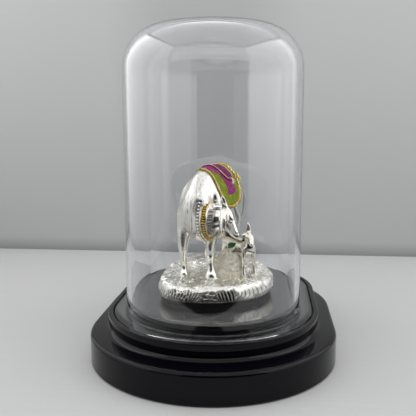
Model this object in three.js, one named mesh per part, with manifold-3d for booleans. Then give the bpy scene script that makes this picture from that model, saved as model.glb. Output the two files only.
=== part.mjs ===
// Cow and calf statue: a small silver casting with enamelled saddle cloths, under a clear dome that lifts
// off a glossy black oval base. Millimetres, +Z up, origin at the centre of the underside. The long axis of
// the oval lies along Y, and the cow faces -Y.
import * as THREE from 'three';
import { mergeVertices } from 'three/addons/utils/BufferGeometryUtils.js';
import Module from 'manifold-3d';

const wasm = await Module();
wasm.setup();

// Overall sizes
const totalHeight = 151.4;
const baseWidth = 115;
const straightHalf = 18.45;      // half the straight side that every oval outline shares
const gap = 0.3;                 // between pieces that touch

// Base: a low wide tier, a narrower rim, a channel for the dome's foot and a raised middle
const tierRadius = baseWidth / 2;
const tierTop = 14;
const tierFillet = 2;
const footChamfer = 0.8;
const shelfInner = 51;
const shelfRise = 0.4;
const bandRadius = 49.1;
const bandFoot = 17.8;
const rimTop = 22.5;
const rimFillet = 0.5;
const channelOuter = 46.8;
const channelFloor = 20.1;
const stageRadius = 37.7;
const stageTop = 26.4;
const stageChamfer = 0.6;

// Dome
const domeOuter = 40.44;
const domeWall = 2.1;
const domeFillet = 19.3;
const flangeRadius = 46.2;
const flangeThickness = 2;
const footFillet = 0.8;

// Rock and its pad
const padThickness = 1.8;
const padInset = 1.6;
const rockTop = 36;
const rockCentre = new THREE.Vector3(0.5, 4, 0);
const rockEdge = [
  [-25.8, -20], [-20.6, -30.6], [-10, -34.6], [4, -34], [15.7, -29], [25, -19], [28.6, -7], [27, 8],
  [20.5, 22], [12, 38], [0, 44.5], [-12, 41], [-20.5, 28], [-25.3, 12], [-26.5, -4],
];
const heapCentre = new THREE.Vector3(6.5, -8, 39.5);
const heapSize = new THREE.Vector3(6.8, 6.6, 8.2);

// The animals. Each row of a limb is [back, left, height, half width, half depth], measured from between the
// forefeet along the animal's own axis, which is turned by the yaw.
const cowPlace = { x: -7.5, y: -14, yaw: THREE.MathUtils.degToRad(9.5) };
const calfPlace = { x: 16.4, y: -10, yaw: THREE.MathUtils.degToRad(-32) };

const cowBarrel = [
  [-1, 0.4, 68, 8.8, 12],
  [5, 1.6, 68.5, 10.6, 16],
  [13, 2.8, 69, 11.4, 17.4],
  [22, 3.1, 68.6, 12.2, 17.8],
  [32, 2.7, 69.3, 12.6, 17.4],
  [41, 1.2, 71, 13, 15.8],
  [49, 0.4, 72.4, 10.6, 12.4],
];
const cowBarrelPinch = 0.25;
const cowHump = [
  [-3, 0.2, 72, 5, 8],
  [2, 1.2, 76.6, 5.6, 9.4],
  [9, 1.5, 77.4, 6, 9],
];
const cowNeck = [
  [6, -1, 70, 9.5, 13],
  [1, 2.2, 66.4, 8.4, 12],
  [-2.2, 5.6, 63.6, 7, 9],
  [-3.2, 8.6, 64.4, 5.6, 6.6],
  [-3.4, 11.6, 64.8, 4.6, 5.2],
  [-3.2, 14.4, 65.6, 3.6, 4.2],
];
const cowBrisket = [
  [9, 0.5, 64.5, 8, 8.5],
  [2, 1.8, 62.6, 8, 9.2],
  [-3, 3.6, 62.1, 6.8, 8],
  [-6, 4.6, 62.6, 4, 5.6],
];
const cowSkull = [
  [-4.4, 14.6, 68.4, 3.4, 2.9],
  [-4.3, 15.7, 63.4, 3.2, 3.3],
  [-3.9, 17.8, 59.8, 2.3, 2.3],
  [-3.7, 19.2, 57.9, 1.8, 1.6],
];
const cowForehead = new THREE.Vector3(0.9, 0, 0.43).normalize();
const cowForelegs = [
  [[6, -5, 74, 4, 6], [4, -7, 67, 4.4, 6.4], [2, -7.8, 58, 3.4, 4.2], [0.6, -7.8, 50, 2.4, 2.8],
    [0.4, -7.6, 44, 1.7, 2.1], [0.4, -7.4, 40, 1.6, 1.8], [0, -7.2, 36.3, 2.4, 2.7]],
  [[6, 5, 74, 4, 6], [4, 7, 67, 4.4, 6.4], [2, 6.4, 58, 3.3, 4.2], [0.2, 6, 50.5, 2.3, 2.8],
    [0, 6, 47.4, 2.1, 2.4], [0, 6.1, 42.6, 1.5, 1.8], [-0.2, 6.3, 39.4, 2, 2.1], [-0.5, 6.5, 36.2, 3.2, 3]],
];
const cowHindleg = [
  [43, 5, 75, 5, 8], [44, 7.4, 66, 5.6, 8.6], [43.5, 8, 58, 3.8, 5.8], [46.5, 7.6, 50.5, 2.1, 2.9],
  [45.5, 7.2, 42, 1.7, 1.9], [44.5, 7.2, 36.4, 2.5, 2.7],
];
const cowUdder = [
  [34, 1, 53.4, 3.4, 2.6],
  [39, 1, 53.4, 4.2, 3.6],
];
const cowTail = [
  [53, 0, 80, 1.6, 1.6], [58, 0.4, 73, 1.2, 1.2], [57.5, 1, 62, 1.1, 1.1], [55, 1.6, 54, 1.7, 1.7],
  [54.5, 1.8, 46, 0.8, 0.8],
];
const cowEars = [
  [[-8.1, 13.2, 69.4, 1, 0.8], [-8, 13.9, 64.6, 1.8, 0.9], [-8, 13.7, 59.6, 1.1, 0.8]],
  [[-1.2, 13.4, 68.4, 1, 0.8], [-0.4, 14.2, 64.4, 1.7, 0.9], [-0.4, 14.3, 60.4, 1, 0.7]],
];
const cowHorns = [
  [[-4.3, 13.6, 69.6, 1.9, 1.2], [-4.3, 13.1, 73, 1.5, 1], [-4.3, 12.7, 75.2, 0.6, 0.6]],
  [[-3.9, 9.4, 69, 1.8, 1.5], [-3.9, 9.2, 73.6, 1.5, 1.4], [-3.9, 9.3, 76.6, 0.7, 0.8]],
];

const calfBarrel = [
  [-0.5, 0, 49.6, 3.2, 3.8],
  [5, 0, 49.6, 3.8, 4.3],
  [13, 0, 49.2, 3.9, 4.2],
  [21, 0, 49.8, 3.4, 3.7],
];
const calfBarrelPinch = 0.1;
const calfNeck = [
  [2.5, 0, 50.6, 2.2, 2.8],
  [0.6, -0.4, 52.6, 1.9, 2.2],
  [-0.6, -0.8, 54.4, 1.6, 1.7],
];
const calfSkull = [
  [0.2, 0.4, 56, 1.7, 1.6],
  [-2.1, -0.4, 54.2, 1.8, 1.8],
  [-4.5, -1.1, 51.8, 1.1, 1.1],
];
const calfForeleg = [
  [0.5, 2.2, 49, 1.7, 2.1], [0, 2.8, 45, 1.2, 1.4], [0, 2.9, 40.4, 0.9, 1], [-0.3, 3, 36.4, 1.4, 1.5],
];
const calfHindleg = [
  [20, 2, 49.5, 1.9, 2.6], [20.5, 2.3, 46, 1.4, 1.9], [22, 2.5, 42, 0.9, 1.1],
  [21.3, 2.5, 36.4, 1.3, 1.5],
];
const calfEars = [
  [[0.4, 0, 56.4, 1.1, 0.7], [0.5, 0, 59, 1.2, 0.7], [0.5, -0.4, 61.6, 0.4, 0.4]],
  [[0.2, -1.1, 56, 0.9, 0.6], [0.5, -2.7, 55.4, 1, 0.7], [0.9, -3.7, 54.2, 0.5, 0.4]],
];
const calfTail = [
  [23, 0, 51.6, 0.8, 0.8],
  [25.6, 0.2, 47.6, 0.6, 0.6],
  [25, 0.4, 43, 0.8, 0.8],
];

// Saddle cloth, its upper panel and the neck bands, in the cow's side view
const cloth = {
  front: 2.9, rear: 31.5, bottom: 68.8, reach: 95, frontCorner: 3, rearCorner: 13,
  thickness: 0.6, hemWidth: 1.4, hemRise: 0.6,
};
const panel = { front: 11.5, rear: 21.5, bottom: 81.3, rise: 0.5 };
const neckBands = [
  { from: 1.6, to: 2.6, rise: 0.6 },
  { from: 4, to: 6.4, rise: 0.8 },
  { from: 7.4, to: 10.6, rise: 0.4 },
];
const blockHalf = 30;            // half size of the blocks that cut the cloth and the bands

const up = new THREE.Vector3(0, 0, 1);
const forward = new THREE.Vector3(0, -1, 0);

// A closed mesh of positions alone, without doubled vertices or flat triangles
function welded(geometry) {
  geometry.deleteAttribute('normal');
  geometry.deleteAttribute('uv');
  const merged = mergeVertices(geometry, 1e-4);
  const corners = merged.index.array;
  const kept = [];
  for (let at = 0; at < corners.length; at += 3) {
    const [a, b, c] = corners.slice(at, at + 3);
    if (a !== b && b !== c && c !== a) {
      kept.push(a, b, c);
    }
  }
  merged.setIndex(kept);
  return merged;
}

// A surface through rings of points that run anticlockwise about the way the rings advance. The first and
// last ring shrink to a point or a line.
function skin(rings) {
  const perRing = rings[0].length;
  const geometry = new THREE.BufferGeometry().setFromPoints(rings.flat());
  const indices = [];
  for (let ring = 0; ring < rings.length - 1; ring += 1) {
    for (let step = 0; step < perRing; step += 1) {
      const next = (step + 1) % perRing;
      const here = ring * perRing;
      const above = here + perRing;
      indices.push(here + step, here + next, above + next);
      indices.push(here + step, above + next, above + step);
    }
  }
  geometry.setIndex(indices);
  return welded(geometry);
}

function toSolid(geometry) {
  const vertProperties = new Float32Array(geometry.attributes.position.array);
  const triVerts = new Uint32Array(geometry.index.array);
  return new wasm.Manifold(new wasm.Mesh({ numProp: 3, vertProperties, triVerts }));
}

function toGeometry(solid) {
  const mesh = solid.getMesh();
  const geometry = new THREE.BufferGeometry();
  geometry.setAttribute('position', new THREE.BufferAttribute(mesh.vertProperties, 3));
  geometry.setIndex(new THREE.BufferAttribute(mesh.triVerts, 1));
  return geometry;
}

function joined(solids) {
  return solids.reduce((whole, solid) => whole.add(solid));
}

// Points of a round corner in a profile, from one angle to another in degrees
function corner(centre, radius, from, to, steps) {
  const points = [];
  for (let step = 0; step <= steps; step += 1) {
    const angle = THREE.MathUtils.degToRad(from + (to - from) * step / steps);
    points.push([centre[0] + radius * Math.cos(angle), centre[1] + radius * Math.sin(angle)]);
  }
  return points;
}

// A profile of [radius, height] points from axis to axis, swept round the oval
function sweepOval(profile, arcSteps) {
  const rings = profile.map(([radius, height]) => {
    const ring = [];
    for (const [start, centre] of [[0, straightHalf], [Math.PI, -straightHalf]]) {
      for (let step = 0; step <= arcSteps; step += 1) {
        const angle = start + Math.PI * step / arcSteps;
        const x = radius * Math.cos(angle);
        ring.push(new THREE.Vector3(x, centre + radius * Math.sin(angle), height));
      }
    }
    return ring;
  });
  return skin(rings);
}

function makeBase() {
  const coveRadius = bandFoot - tierTop - shelfRise;
  return sweepOval([
    [0, 0],
    [tierRadius - footChamfer, 0],
    [tierRadius, footChamfer],
    ...corner([tierRadius - tierFillet, tierTop - tierFillet], tierFillet, 0, 90, 3),
    ...corner([shelfInner, bandFoot], coveRadius, 270, 210, 3),
    [bandRadius, bandFoot],
    ...corner([bandRadius - rimFillet, rimTop - rimFillet], rimFillet, 0, 90, 2),
    [channelOuter, rimTop],
    [channelOuter, channelFloor],
    [stageRadius, channelFloor],
    [stageRadius, stageTop - stageChamfer],
    [stageRadius - stageChamfer, stageTop],
    [0, stageTop],
  ], 14);
}

function makeDome() {
  const inner = domeOuter - domeWall;
  const flangeFoot = channelFloor + gap;
  const flangeTop = flangeFoot + flangeThickness;
  const shoulder = [domeOuter - domeFillet, totalHeight - domeFillet];
  return sweepOval([
    [0, totalHeight - domeWall],
    ...corner(shoulder, domeFillet - domeWall, 90, 0, 5),
    [inner, flangeFoot],
    [flangeRadius, flangeFoot],
    [flangeRadius, flangeTop],
    [domeOuter + footFillet, flangeTop],
    [domeOuter, flangeTop + footFillet],
    ...corner(shoulder, domeFillet, 0, 90, 6),
    [0, totalHeight],
  ], 14);
}

// Height of the rock's top, gently uneven
function rockHeight(x, y) {
  const swell = 0.5 * Math.sin(0.21 * x + 0.6) * Math.cos(0.17 * y);
  const pebble = 0.25 * Math.sin(0.9 * x + 1.3 * Math.sin(0.5 * y)) * Math.sin(0.8 * y);
  return rockTop + swell + pebble;
}

// A ring of the rock: set in from its edge, at the height that a function gives, with upright ridges
const rockCurve = new THREE.CatmullRomCurve3(
  rockEdge.map(([x, y]) => new THREE.Vector3(x, y, 0)), true, 'centripetal');
function rockRing(inset, height, ridge, steps) {
  return Array.from({ length: steps }, (_, step) => {
    const share = step / steps;
    const edge = rockCurve.getPointAt(share);
    const wave = Math.sin(share * Math.PI * 18) * Math.sin(share * Math.PI * 46);
    const depth = inset + ridge * (step % 2) * (0.6 + 0.4 * wave);
    const point = edge.add(rockCentre.clone().sub(edge).setLength(depth));
    point.z = height(point.x, point.y);
    return point;
  });
}

function rockMiddle(height, steps) {
  return Array.from({ length: steps }, () => new THREE.Vector3(rockCentre.x, rockCentre.y, height));
}

function makeRock() {
  const steps = 68;
  const foot = stageTop + padThickness + 2 * gap;
  const level = (share) => (x, y) => foot + (rockHeight(x, y) - foot) * share;
  return skin([
    rockMiddle(foot, steps),
    rockRing(0.9, level(0), 0.3, steps),
    rockRing(0, level(0.3), 0.8, steps),
    rockRing(0.6, level(0.7), 0.9, steps),
    rockRing(1.8, level(0.95), 0.5, steps),
    rockRing(3.4, level(1), 0, steps),
    rockRing(12, level(1), 0, steps),
    rockMiddle(rockHeight(rockCentre.x, rockCentre.y), steps),
  ]);
}

function makePad() {
  const steps = 48;
  const foot = stageTop + gap;
  const top = foot + padThickness;
  return skin([
    rockMiddle(foot, steps),
    rockRing(padInset, () => foot, 0, steps),
    rockRing(padInset, () => top, 0, steps),
    rockMiddle(top, steps),
  ]);
}

// Heap of fodder under the calf
function makeHeap() {
  const heap = new THREE.IcosahedronGeometry(1, 3);
  const points = heap.attributes.position;
  for (let at = 0; at < points.count; at += 1) {
    const point = new THREE.Vector3().fromBufferAttribute(points, at);
    const lump = 1 + 0.07 * Math.sin(7 * point.x + 2 * point.z) * Math.cos(6 * point.y + 5 * point.z);
    point.multiplyScalar(lump).multiply(heapSize).add(heapCentre);
    points.setXYZ(at, point.x, point.y, point.z);
  }
  return toSolid(welded(heap));
}

function placed(place, back, left, height) {
  return new THREE.Vector3(
    place.x + back * Math.sin(place.yaw) + left * Math.cos(place.yaw),
    place.y + back * Math.cos(place.yaw) - left * Math.sin(place.yaw),
    height,
  );
}

// A limb or body through its rows. Each section holds the given direction, along which its half depth lies.
// Both ends are rounded, and a pinch narrows the side that faces that way.
function limb(place, rows, direction, sides, { pinch = 0, swell = 0 } = {}) {
  const path = new THREE.CatmullRomCurve3(
    rows.map(([back, left, height]) => placed(place, back, left, height)), false, 'centripetal');
  const sizes = new THREE.CatmullRomCurve3(
    rows.map(([, , , width, depth]) => new THREE.Vector3(width + swell, depth + swell, 0)));
  const ringAt = (share, shrink, shift) => {
    const tangent = path.getTangent(share);
    const size = sizes.getPoint(share).multiplyScalar(shrink);
    const across = direction.clone().cross(tangent).normalize();
    const centre = path.getPoint(share).addScaledVector(tangent, shift);
    return Array.from({ length: sides }, (_, side) => {
      const angle = 2 * Math.PI * side / sides;
      const width = size.x * Math.cos(angle) * (1 - pinch * Math.sin(angle));
      return centre.clone()
        .addScaledVector(across, width)
        .addScaledVector(direction, size.y * Math.sin(angle));
    });
  };
  const capRings = (share, way) => [90, 45].map((degrees) => {
    const angle = THREE.MathUtils.degToRad(degrees);
    const size = sizes.getPoint(share);
    const reach = Math.min(size.x, size.y) * 0.8;
    return ringAt(share, Math.cos(angle), way * reach * Math.sin(angle));
  });
  const steps = (rows.length - 1) * 2;
  const along = Array.from({ length: steps + 1 }, (_, step) => ringAt(step / steps, 1, 0));
  return toSolid(skin([...capRings(0, -1), ...along, ...capRings(1, 1).reverse()]));
}

// The same limb on the right and on the left
function pair(place, rows, direction, sides) {
  return [-1, 1].map((side) => limb(
    place, rows.map(([back, left, ...rest]) => [back, side * left, ...rest]), direction, sides));
}

function makeCow() {
  return joined([
    limb(cowPlace, cowBarrel, up, 20, { pinch: cowBarrelPinch }),
    limb(cowPlace, cowHump, up, 12),
    limb(cowPlace, cowNeck, up, 14),
    limb(cowPlace, cowBrisket, up, 12),
    limb(cowPlace, cowSkull, cowForehead, 12),
    limb(cowPlace, cowUdder, up, 10),
    limb(cowPlace, cowTail, forward, 8),
    ...pair(cowPlace, cowHindleg, forward, 8),
    ...cowForelegs.map((rows) => limb(cowPlace, rows, forward, 8)),
    ...[...cowEars, ...cowHorns].map((rows) => limb(cowPlace, rows, forward, 6)),
  ]);
}

function makeCalf() {
  return joined([
    limb(calfPlace, calfBarrel, up, 10, { pinch: calfBarrelPinch }),
    limb(calfPlace, calfNeck, forward, 8),
    limb(calfPlace, calfSkull, up, 8),
    limb(calfPlace, calfTail, forward, 6),
    ...pair(calfPlace, calfForeleg, forward, 6),
    ...pair(calfPlace, calfHindleg, forward, 6),
    ...calfEars.map((rows) => limb(calfPlace, rows, forward, 5)),
  ]);
}

// A block that holds everything inside an outline of the cow's side view, from one side to the other
function sideBlock(outline) {
  const settings = { depth: 2 * blockHalf, bevelEnabled: false, curveSegments: 5 };
  const geometry = new THREE.ExtrudeGeometry(outline, settings);
  const origin = placed(cowPlace, 0, -blockHalf, 0);
  const back = placed(cowPlace, 1, -blockHalf, 0).sub(origin);
  const left = placed(cowPlace, 0, 1 - blockHalf, 0).sub(origin);
  geometry.applyMatrix4(new THREE.Matrix4().makeBasis(back, up, left).setPosition(origin));
  return toSolid(welded(geometry));
}

// Side view of the cloth: straight front and rear edges and a lower edge that sweeps up to the rear
function clothOutline(inset) {
  const front = cloth.front + inset;
  const rear = cloth.rear - inset;
  const bottom = cloth.bottom + inset;
  const outline = new THREE.Shape();
  outline.moveTo(front, cloth.reach);
  outline.lineTo(front, bottom + cloth.frontCorner);
  outline.quadraticCurveTo(front, bottom, front + cloth.frontCorner, bottom);
  outline.lineTo(rear - cloth.rearCorner, bottom);
  outline.quadraticCurveTo(rear, bottom, rear, bottom + cloth.rearCorner);
  outline.lineTo(rear, cloth.reach);
  return outline;
}

function panelOutline() {
  return new THREE.Shape([
    new THREE.Vector2(panel.front, cloth.reach),
    new THREE.Vector2(panel.front, panel.bottom),
    new THREE.Vector2(panel.rear, panel.bottom),
    new THREE.Vector2(panel.rear, cloth.reach),
  ]);
}

// The cloth is the cow's back swollen by its thickness and cut to its outline, with a raised hem and panel
function makeCloth() {
  const cover = (swell) => joined([
    limb(cowPlace, cowBarrel, up, 20, { pinch: cowBarrelPinch, swell }),
    limb(cowPlace, cowHump, up, 12, { swell }),
  ]);
  const field = sideBlock(clothOutline(0));
  const hem = field.subtract(sideBlock(clothOutline(cloth.hemWidth)));
  return joined([
    cover(cloth.thickness).intersect(field),
    cover(cloth.thickness + cloth.hemRise).intersect(hem),
    cover(cloth.thickness + panel.rise).intersect(sideBlock(panelOutline())),
  ]);
}

// Each band is the neck swollen by its rise, between two upright planes that are square to the cow's side
function makeNeckBands() {
  return joined(neckBands.map(({ from, to, rise }) => {
    const slab = new THREE.BoxGeometry(to - from, 2 * blockHalf, 2 * blockHalf);
    slab.rotateZ(-cowPlace.yaw);
    slab.translate(...placed(cowPlace, 0, (from + to) / 2, rockTop + blockHalf).toArray());
    const neck = limb(cowPlace, cowNeck, up, 14, { swell: rise });
    const chest = limb(cowPlace, cowBrisket, up, 12, { swell: rise });
    return neck.add(chest).intersect(toSolid(welded(slab)));
  }));
}

function makeStatue() {
  return toGeometry(joined([
    toSolid(makeRock()), makeHeap(), makeCow(), makeCloth(), makeNeckBands(), makeCalf(),
  ]));
}

const materials = {
  silver: new THREE.MeshStandardMaterial({ color: 0xe6e4de, roughness: 0.18, metalness: 1 }),
  black: new THREE.MeshStandardMaterial({ color: 0x0c0c0e, roughness: 0.12, metalness: 0 }),
  foam: new THREE.MeshStandardMaterial({ color: 0x101012, roughness: 0.9, metalness: 0 }),
  clear: new THREE.MeshStandardMaterial({
    color: 0xf4f8fc, roughness: 0.03, metalness: 0, transparent: true, opacity: 0.2,
  }),
};

function piece(name, geometry, material) {
  const mesh = new THREE.Mesh(geometry, material);
  mesh.name = name;
  return mesh;
}

const object = new THREE.Group();
object.add(
  piece('base', makeBase(), materials.black),
  piece('rock_pad', makePad(), materials.foam),
  piece('cow_and_calf', makeStatue(), materials.silver),
  piece('dome', makeDome(), materials.clear),
);

export default object;
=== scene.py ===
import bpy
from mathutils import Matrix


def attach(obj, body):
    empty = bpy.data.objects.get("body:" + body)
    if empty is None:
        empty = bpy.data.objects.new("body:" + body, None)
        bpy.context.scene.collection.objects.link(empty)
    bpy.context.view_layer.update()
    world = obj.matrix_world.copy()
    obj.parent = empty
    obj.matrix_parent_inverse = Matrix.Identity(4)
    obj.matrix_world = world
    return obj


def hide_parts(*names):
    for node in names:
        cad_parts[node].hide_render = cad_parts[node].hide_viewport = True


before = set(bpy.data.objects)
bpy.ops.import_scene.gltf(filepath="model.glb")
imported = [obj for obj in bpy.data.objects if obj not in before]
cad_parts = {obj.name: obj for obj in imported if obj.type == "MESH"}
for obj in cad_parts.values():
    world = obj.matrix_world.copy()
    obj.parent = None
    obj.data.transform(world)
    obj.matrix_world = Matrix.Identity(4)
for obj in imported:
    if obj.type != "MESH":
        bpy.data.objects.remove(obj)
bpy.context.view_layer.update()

import math
from types import SimpleNamespace

import bpy
import numpy as np
from mathutils import Matrix

mm = 0.001
tiny = 1e-9
faraway = 9.0      # the distance that stands for well outside a form
randomDraw = np.random.default_rng(11)
up = np.array([0.0, 0.0, 1.0])
forward = np.array([0.0, -1.0, 0.0])


# Camera: a close view from the front, a little to the right and from above
camera = {
    "place": (25.57, -291.82, 110.79),
    "forward": (-0.1005, 0.9837, -0.1488),
    "up": (-0.0128, 0.1483, 0.9889),
    "lens": 51.91,
}


def addCamera():
    ahead = np.array(camera["forward"]) / np.linalg.norm(camera["forward"])
    right = np.cross(ahead, camera["up"])
    right /= np.linalg.norm(right)
    above = np.cross(right, ahead)
    data = bpy.data.cameras.new("camera")
    data.lens = camera["lens"]
    data.clip_start = 0.005
    item = bpy.data.objects.new("camera", data)
    turn = Matrix((right, above, -ahead)).transposed().to_4x4()
    item.matrix_world = Matrix.Translation([value * mm for value in camera["place"]]) @ turn
    bpy.context.scene.collection.objects.link(item)
    bpy.context.scene.camera = item


addCamera()
print("camera placed")


# Meshes and materials
def addMesh(name, points, faces, material, slot=None, sharpAngle=None, cutsAndShade=None):
    # how dark each point is: tarnish in carved cuts, and painted shade in creases, folds, grooves, hollows and on
    # undersides
    mesh = bpy.data.meshes.new(name)
    faces = faces.tolist() if isinstance(faces, np.ndarray) else faces
    mesh.from_pydata((np.asarray(points) * mm).tolist(), [], faces)
    mesh.polygons.foreach_set("use_smooth", [True] * len(mesh.polygons))
    if sharpAngle:
        mesh.set_sharp_from_angle(angle=math.radians(sharpAngle))
    mesh.materials.append(material)
    mesh.update()
    item = bpy.data.objects.new(name, mesh)
    bpy.context.scene.collection.objects.link(item)
    if cutsAndShade is not None:
        layer = mesh.attributes.new("cut", "FLOAT", "POINT")
        layer.data.foreach_set("value", unit(cutsAndShade).astype(np.float32))
    if slot:
        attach(item, "root")
    return item


def unit(values):
    # kept between 0 and 1
    return np.clip(values, 0, 1)


def inSpan(values, low, high, soft):
    # one well inside the span, and nought outside
    return unit((values - low) / soft) * unit((high - values) / soft)


def asWays(rows):
    # each row made one long
    return rows / np.maximum(np.linalg.norm(rows, axis=-1, keepdims=True), tiny)


def lengthAlong(path):
    return np.concatenate([[0], np.cumsum(np.linalg.norm(np.diff(path, axis=0), axis=1))])


def pointsAt(path, length, marks):
    return np.column_stack([np.interp(marks, length, column) for column in path.T])


def ringFaces(rings, count, start=0):
    # four-sided faces between rings of points that follow each other
    index = np.arange(count)
    low = start + np.arange(rings - 1)[:, None] * count + index
    after = start + np.arange(rings - 1)[:, None] * count + (index + 1) % count
    faces = np.stack([low, after, after + count, low + count], axis=-1)
    return [tuple(face) for face in faces.reshape(-1, 4).tolist()]


def endCaps(total, count):
    return [tuple(range(count - 1, -1, -1)), tuple(range(total - count, total))]


def newMaterial(name, values):
    material = bpy.data.materials.new(name)
    material.use_nodes = True
    for socket, value in values.items():
        shaderInput(material, socket).default_value = value
    return material


def shaderInput(material, socket):
    return material.node_tree.nodes["Principled BSDF"].inputs[socket]


def addNode(material, kind, values=None, **settings):
    node = material.node_tree.nodes.new("ShaderNode" + kind)
    for setting, value in settings.items():
        setattr(node, setting, value)
    for socket, value in (values or {}).items():
        node.inputs[socket].default_value = value
    return node


def link(material, source, target):
    material.node_tree.links.new(source, target)


def objectNoise(material, scale, detail=3.0, roughness=0.55, stretch=(1, 1, 1)):
    coordinates = addNode(material, "TexCoord")
    mapping = addNode(material, "Mapping", {"Scale": stretch})
    noise = addNode(material, "TexNoise", {"Scale": scale, "Detail": detail, "Roughness": roughness})
    link(material, coordinates.outputs["Object"], mapping.inputs["Vector"])
    link(material, mapping.outputs["Vector"], noise.inputs["Vector"])
    return noise.outputs["Fac"]


def ramp(material, source, stops):
    node = addNode(material, "ValToRGB")
    elements = node.color_ramp.elements
    while len(elements) < len(stops):
        elements.new(0.5)
    for element, (place, colour) in zip(elements, stops):
        element.position = place
        element.color = (*colour, 1)
    link(material, source, node.inputs["Fac"])
    return node.outputs["Color"]


def paint(material, source, stops):
    link(material, ramp(material, source, stops), shaderInput(material, "Base Color"))


def paintMixed(material, colours, factor, other, side="B"):
    # mixes one other colour into the colours; on side A it fades as the factor grows
    mix = addNode(material, "Mix", data_type="RGBA")
    mix.inputs[side].default_value = (*other, 1)
    link(material, factor, mix.inputs["Factor"])
    link(material, colours, mix.inputs["A" if side == "B" else "B"])
    link(material, mix.outputs["Result"], shaderInput(material, "Base Color"))


def paintCutsAndShade(material, colours, cutShadeColour):
    # darker by the cut attribute: tarnish in carved cuts, and painted shade in creases, grooves, hollows and on
    # undersides
    paintMixed(material, colours, addNode(material, "Attribute", attribute_name="cut").outputs["Fac"], cutShadeColour)


def addRoughness(material, source, low, high):
    change = addNode(material, "MapRange", {"From Min": 0.3, "From Max": 0.7, "To Min": low, "To Max": high})
    link(material, source, change.inputs["Value"])
    link(material, change.outputs["Result"], shaderInput(material, "Roughness"))


def addBump(material, source, distance, strength):
    bump = addNode(material, "Bump", {"Distance": distance * mm, "Strength": strength})
    link(material, source, bump.inputs["Height"])
    link(material, bump.outputs["Normal"], shaderInput(material, "Normal"))


def placeRange(material, low, high, atLow, atHigh, axis="Z"):
    # a number that changes from one place to another along an axis
    place = addNode(material, "TexCoord")
    split = addNode(material, "SeparateXYZ")
    change = addNode(material, "MapRange", {
        "From Min": low * mm, "From Max": high * mm, "To Min": atLow, "To Max": atHigh})
    link(material, place.outputs["Object"], split.inputs["Vector"])
    link(material, split.outputs[axis], change.inputs["Value"])
    return change.outputs["Result"]


# Room: pale floor and wall, soft glowing panels at both sides and above, and a dark opening at the front
room = {
    "floor": (0.575, 0.58, 0.577), "floorFront": -150, "level": -0.05,
    # the table is a near-black sheet over the floor in front, a painted shadow where the light does not reach
    "table": (0.022, 0.02, 0.019), "shadedFloorLevel": -0.6, "front": -900,
    # the wall is painted darker across its middle, a painted shade, and along its foot, a painted shadow
    "wall": (0.45, 0.454, 0.453), "wallShadedMiddle": (0.385, 0.389, 0.388), "wallSpan": (-104, 50), "wallPlace": 193,
    "wallFootShadow": (0.28, 0.28, 0.285), "wallFootShadowHeight": (0.5, 11), "height": 700, "halfWidth": 700,
    "world": (0.02, 0.02, 0.022), "panelHeight": 395,
}
panels = {
    # name: four corners (low front, low back, high back, high front) and the glow at the bottom and the top
    "left": {"corners": [(-270, -262, 0), (-270, 191, 0), (-270, 191, 395), (-270, -262, 395)],
             "glow": (0.55, 2.75)},
    "right": {"corners": [(292, 191, 0), (292, -284, 0), (292, -284, 395), (292, 191, 395)],
              "glow": (0.62, 2.95)},
    "leftFront": {"corners": [(-290, -780, 0), (-290, -270, 0), (-290, -270, 395), (-290, -780, 395)],
                  "glow": (0.28, 0.8)},
    "frontTop": {"corners": [(292, -286, 178), (-270, -286, 178), (-270, -286, 395), (292, -286, 395)],
                 "glow": (0.95, 1.7)},
    "ceiling": {"corners": [(-258, 172, 402), (280, 172, 402), (280, -262, 402), (-258, -262, 402)],
                "glow": (1.2, 1.2)},
}


def oneSided(material, front):
    # shows only from its front, so that views from behind it look through
    nodes = material.node_tree.nodes
    facing = addNode(material, "NewGeometry")
    clear = addNode(material, "BsdfTransparent")
    mix = addNode(material, "MixShader")
    link(material, facing.outputs["Backfacing"], mix.inputs["Fac"])
    link(material, front, mix.inputs[1])
    link(material, clear.outputs["BSDF"], mix.inputs[2])
    link(material, mix.outputs["Shader"], nodes["Material Output"].inputs["Surface"])


def addSheet(name, corners, material):
    addMesh(name, corners, [(0, 1, 2, 3)], material)


def addRoom():
    width, back, level, high = (room[key] for key in ("halfWidth", "wallPlace", "level", "height"))
    # the table row lays a near-black sheet in front of the lit floor, a painted shadow
    for name, roughness, grain, shades, front, height in (
            ("floor", 0.75, {"scale": 60, "detail": 2, "stretch": (0.4, 14, 1)}, (0.97, 1), room["floorFront"], level),
            ("table", 0.6, {"scale": 30, "detail": 4, "stretch": (1, 8, 1)}, (1, 1.5), room["front"],
             room["shadedFloorLevel"])):
        material = newMaterial(name + "_top", {"Roughness": roughness})
        darker, lighter = ([channel * shade for channel in room[name]] for shade in shades)
        paint(material, objectNoise(material, **grain), [(0.3, darker), (0.7, lighter)])
        corners = [(-width, front, height), (width, front, height), (width, back, height), (-width, back, height)]
        addSheet(name, corners, material)
    material = newMaterial("wall_paper", {"Roughness": 0.9})
    # painted shade across the wall's middle, and a painted shadow along its foot
    across = placeRange(material, *room["wallSpan"], 0, 1, "X")
    colours = ramp(material, across, [(0, room["wall"]), (0.3, room["wallShadedMiddle"]),
                                      (0.7, room["wallShadedMiddle"]), (1, room["wall"])])
    paintMixed(material, colours, placeRange(material, *room["wallFootShadowHeight"], 0, 1), room["wallFootShadow"], "A")
    oneSided(material, material.node_tree.nodes["Principled BSDF"].outputs["BSDF"])
    addSheet("wall", [(-width, back, level), (width, back, level), (width, back, high), (-width, back, high)], material)
    for name, panel in panels.items():
        material = bpy.data.materials.new("glow_" + name)
        material.use_nodes = True
        emission = addNode(material, "Emission")
        link(material, placeRange(material, 0, room["panelHeight"], *panel["glow"]), emission.inputs["Strength"])
        oneSided(material, emission.outputs["Emission"])
        addSheet("panel_" + name, panel["corners"], material)
    world = bpy.data.worlds.new("world")
    bpy.context.scene.world = world
    world.use_nodes = True
    world.node_tree.nodes["Background"].inputs["Color"].default_value = (*room["world"], 1)
    bpy.context.scene.view_settings.view_transform = "Standard"


addRoom()
print("room and light placed")


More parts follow.
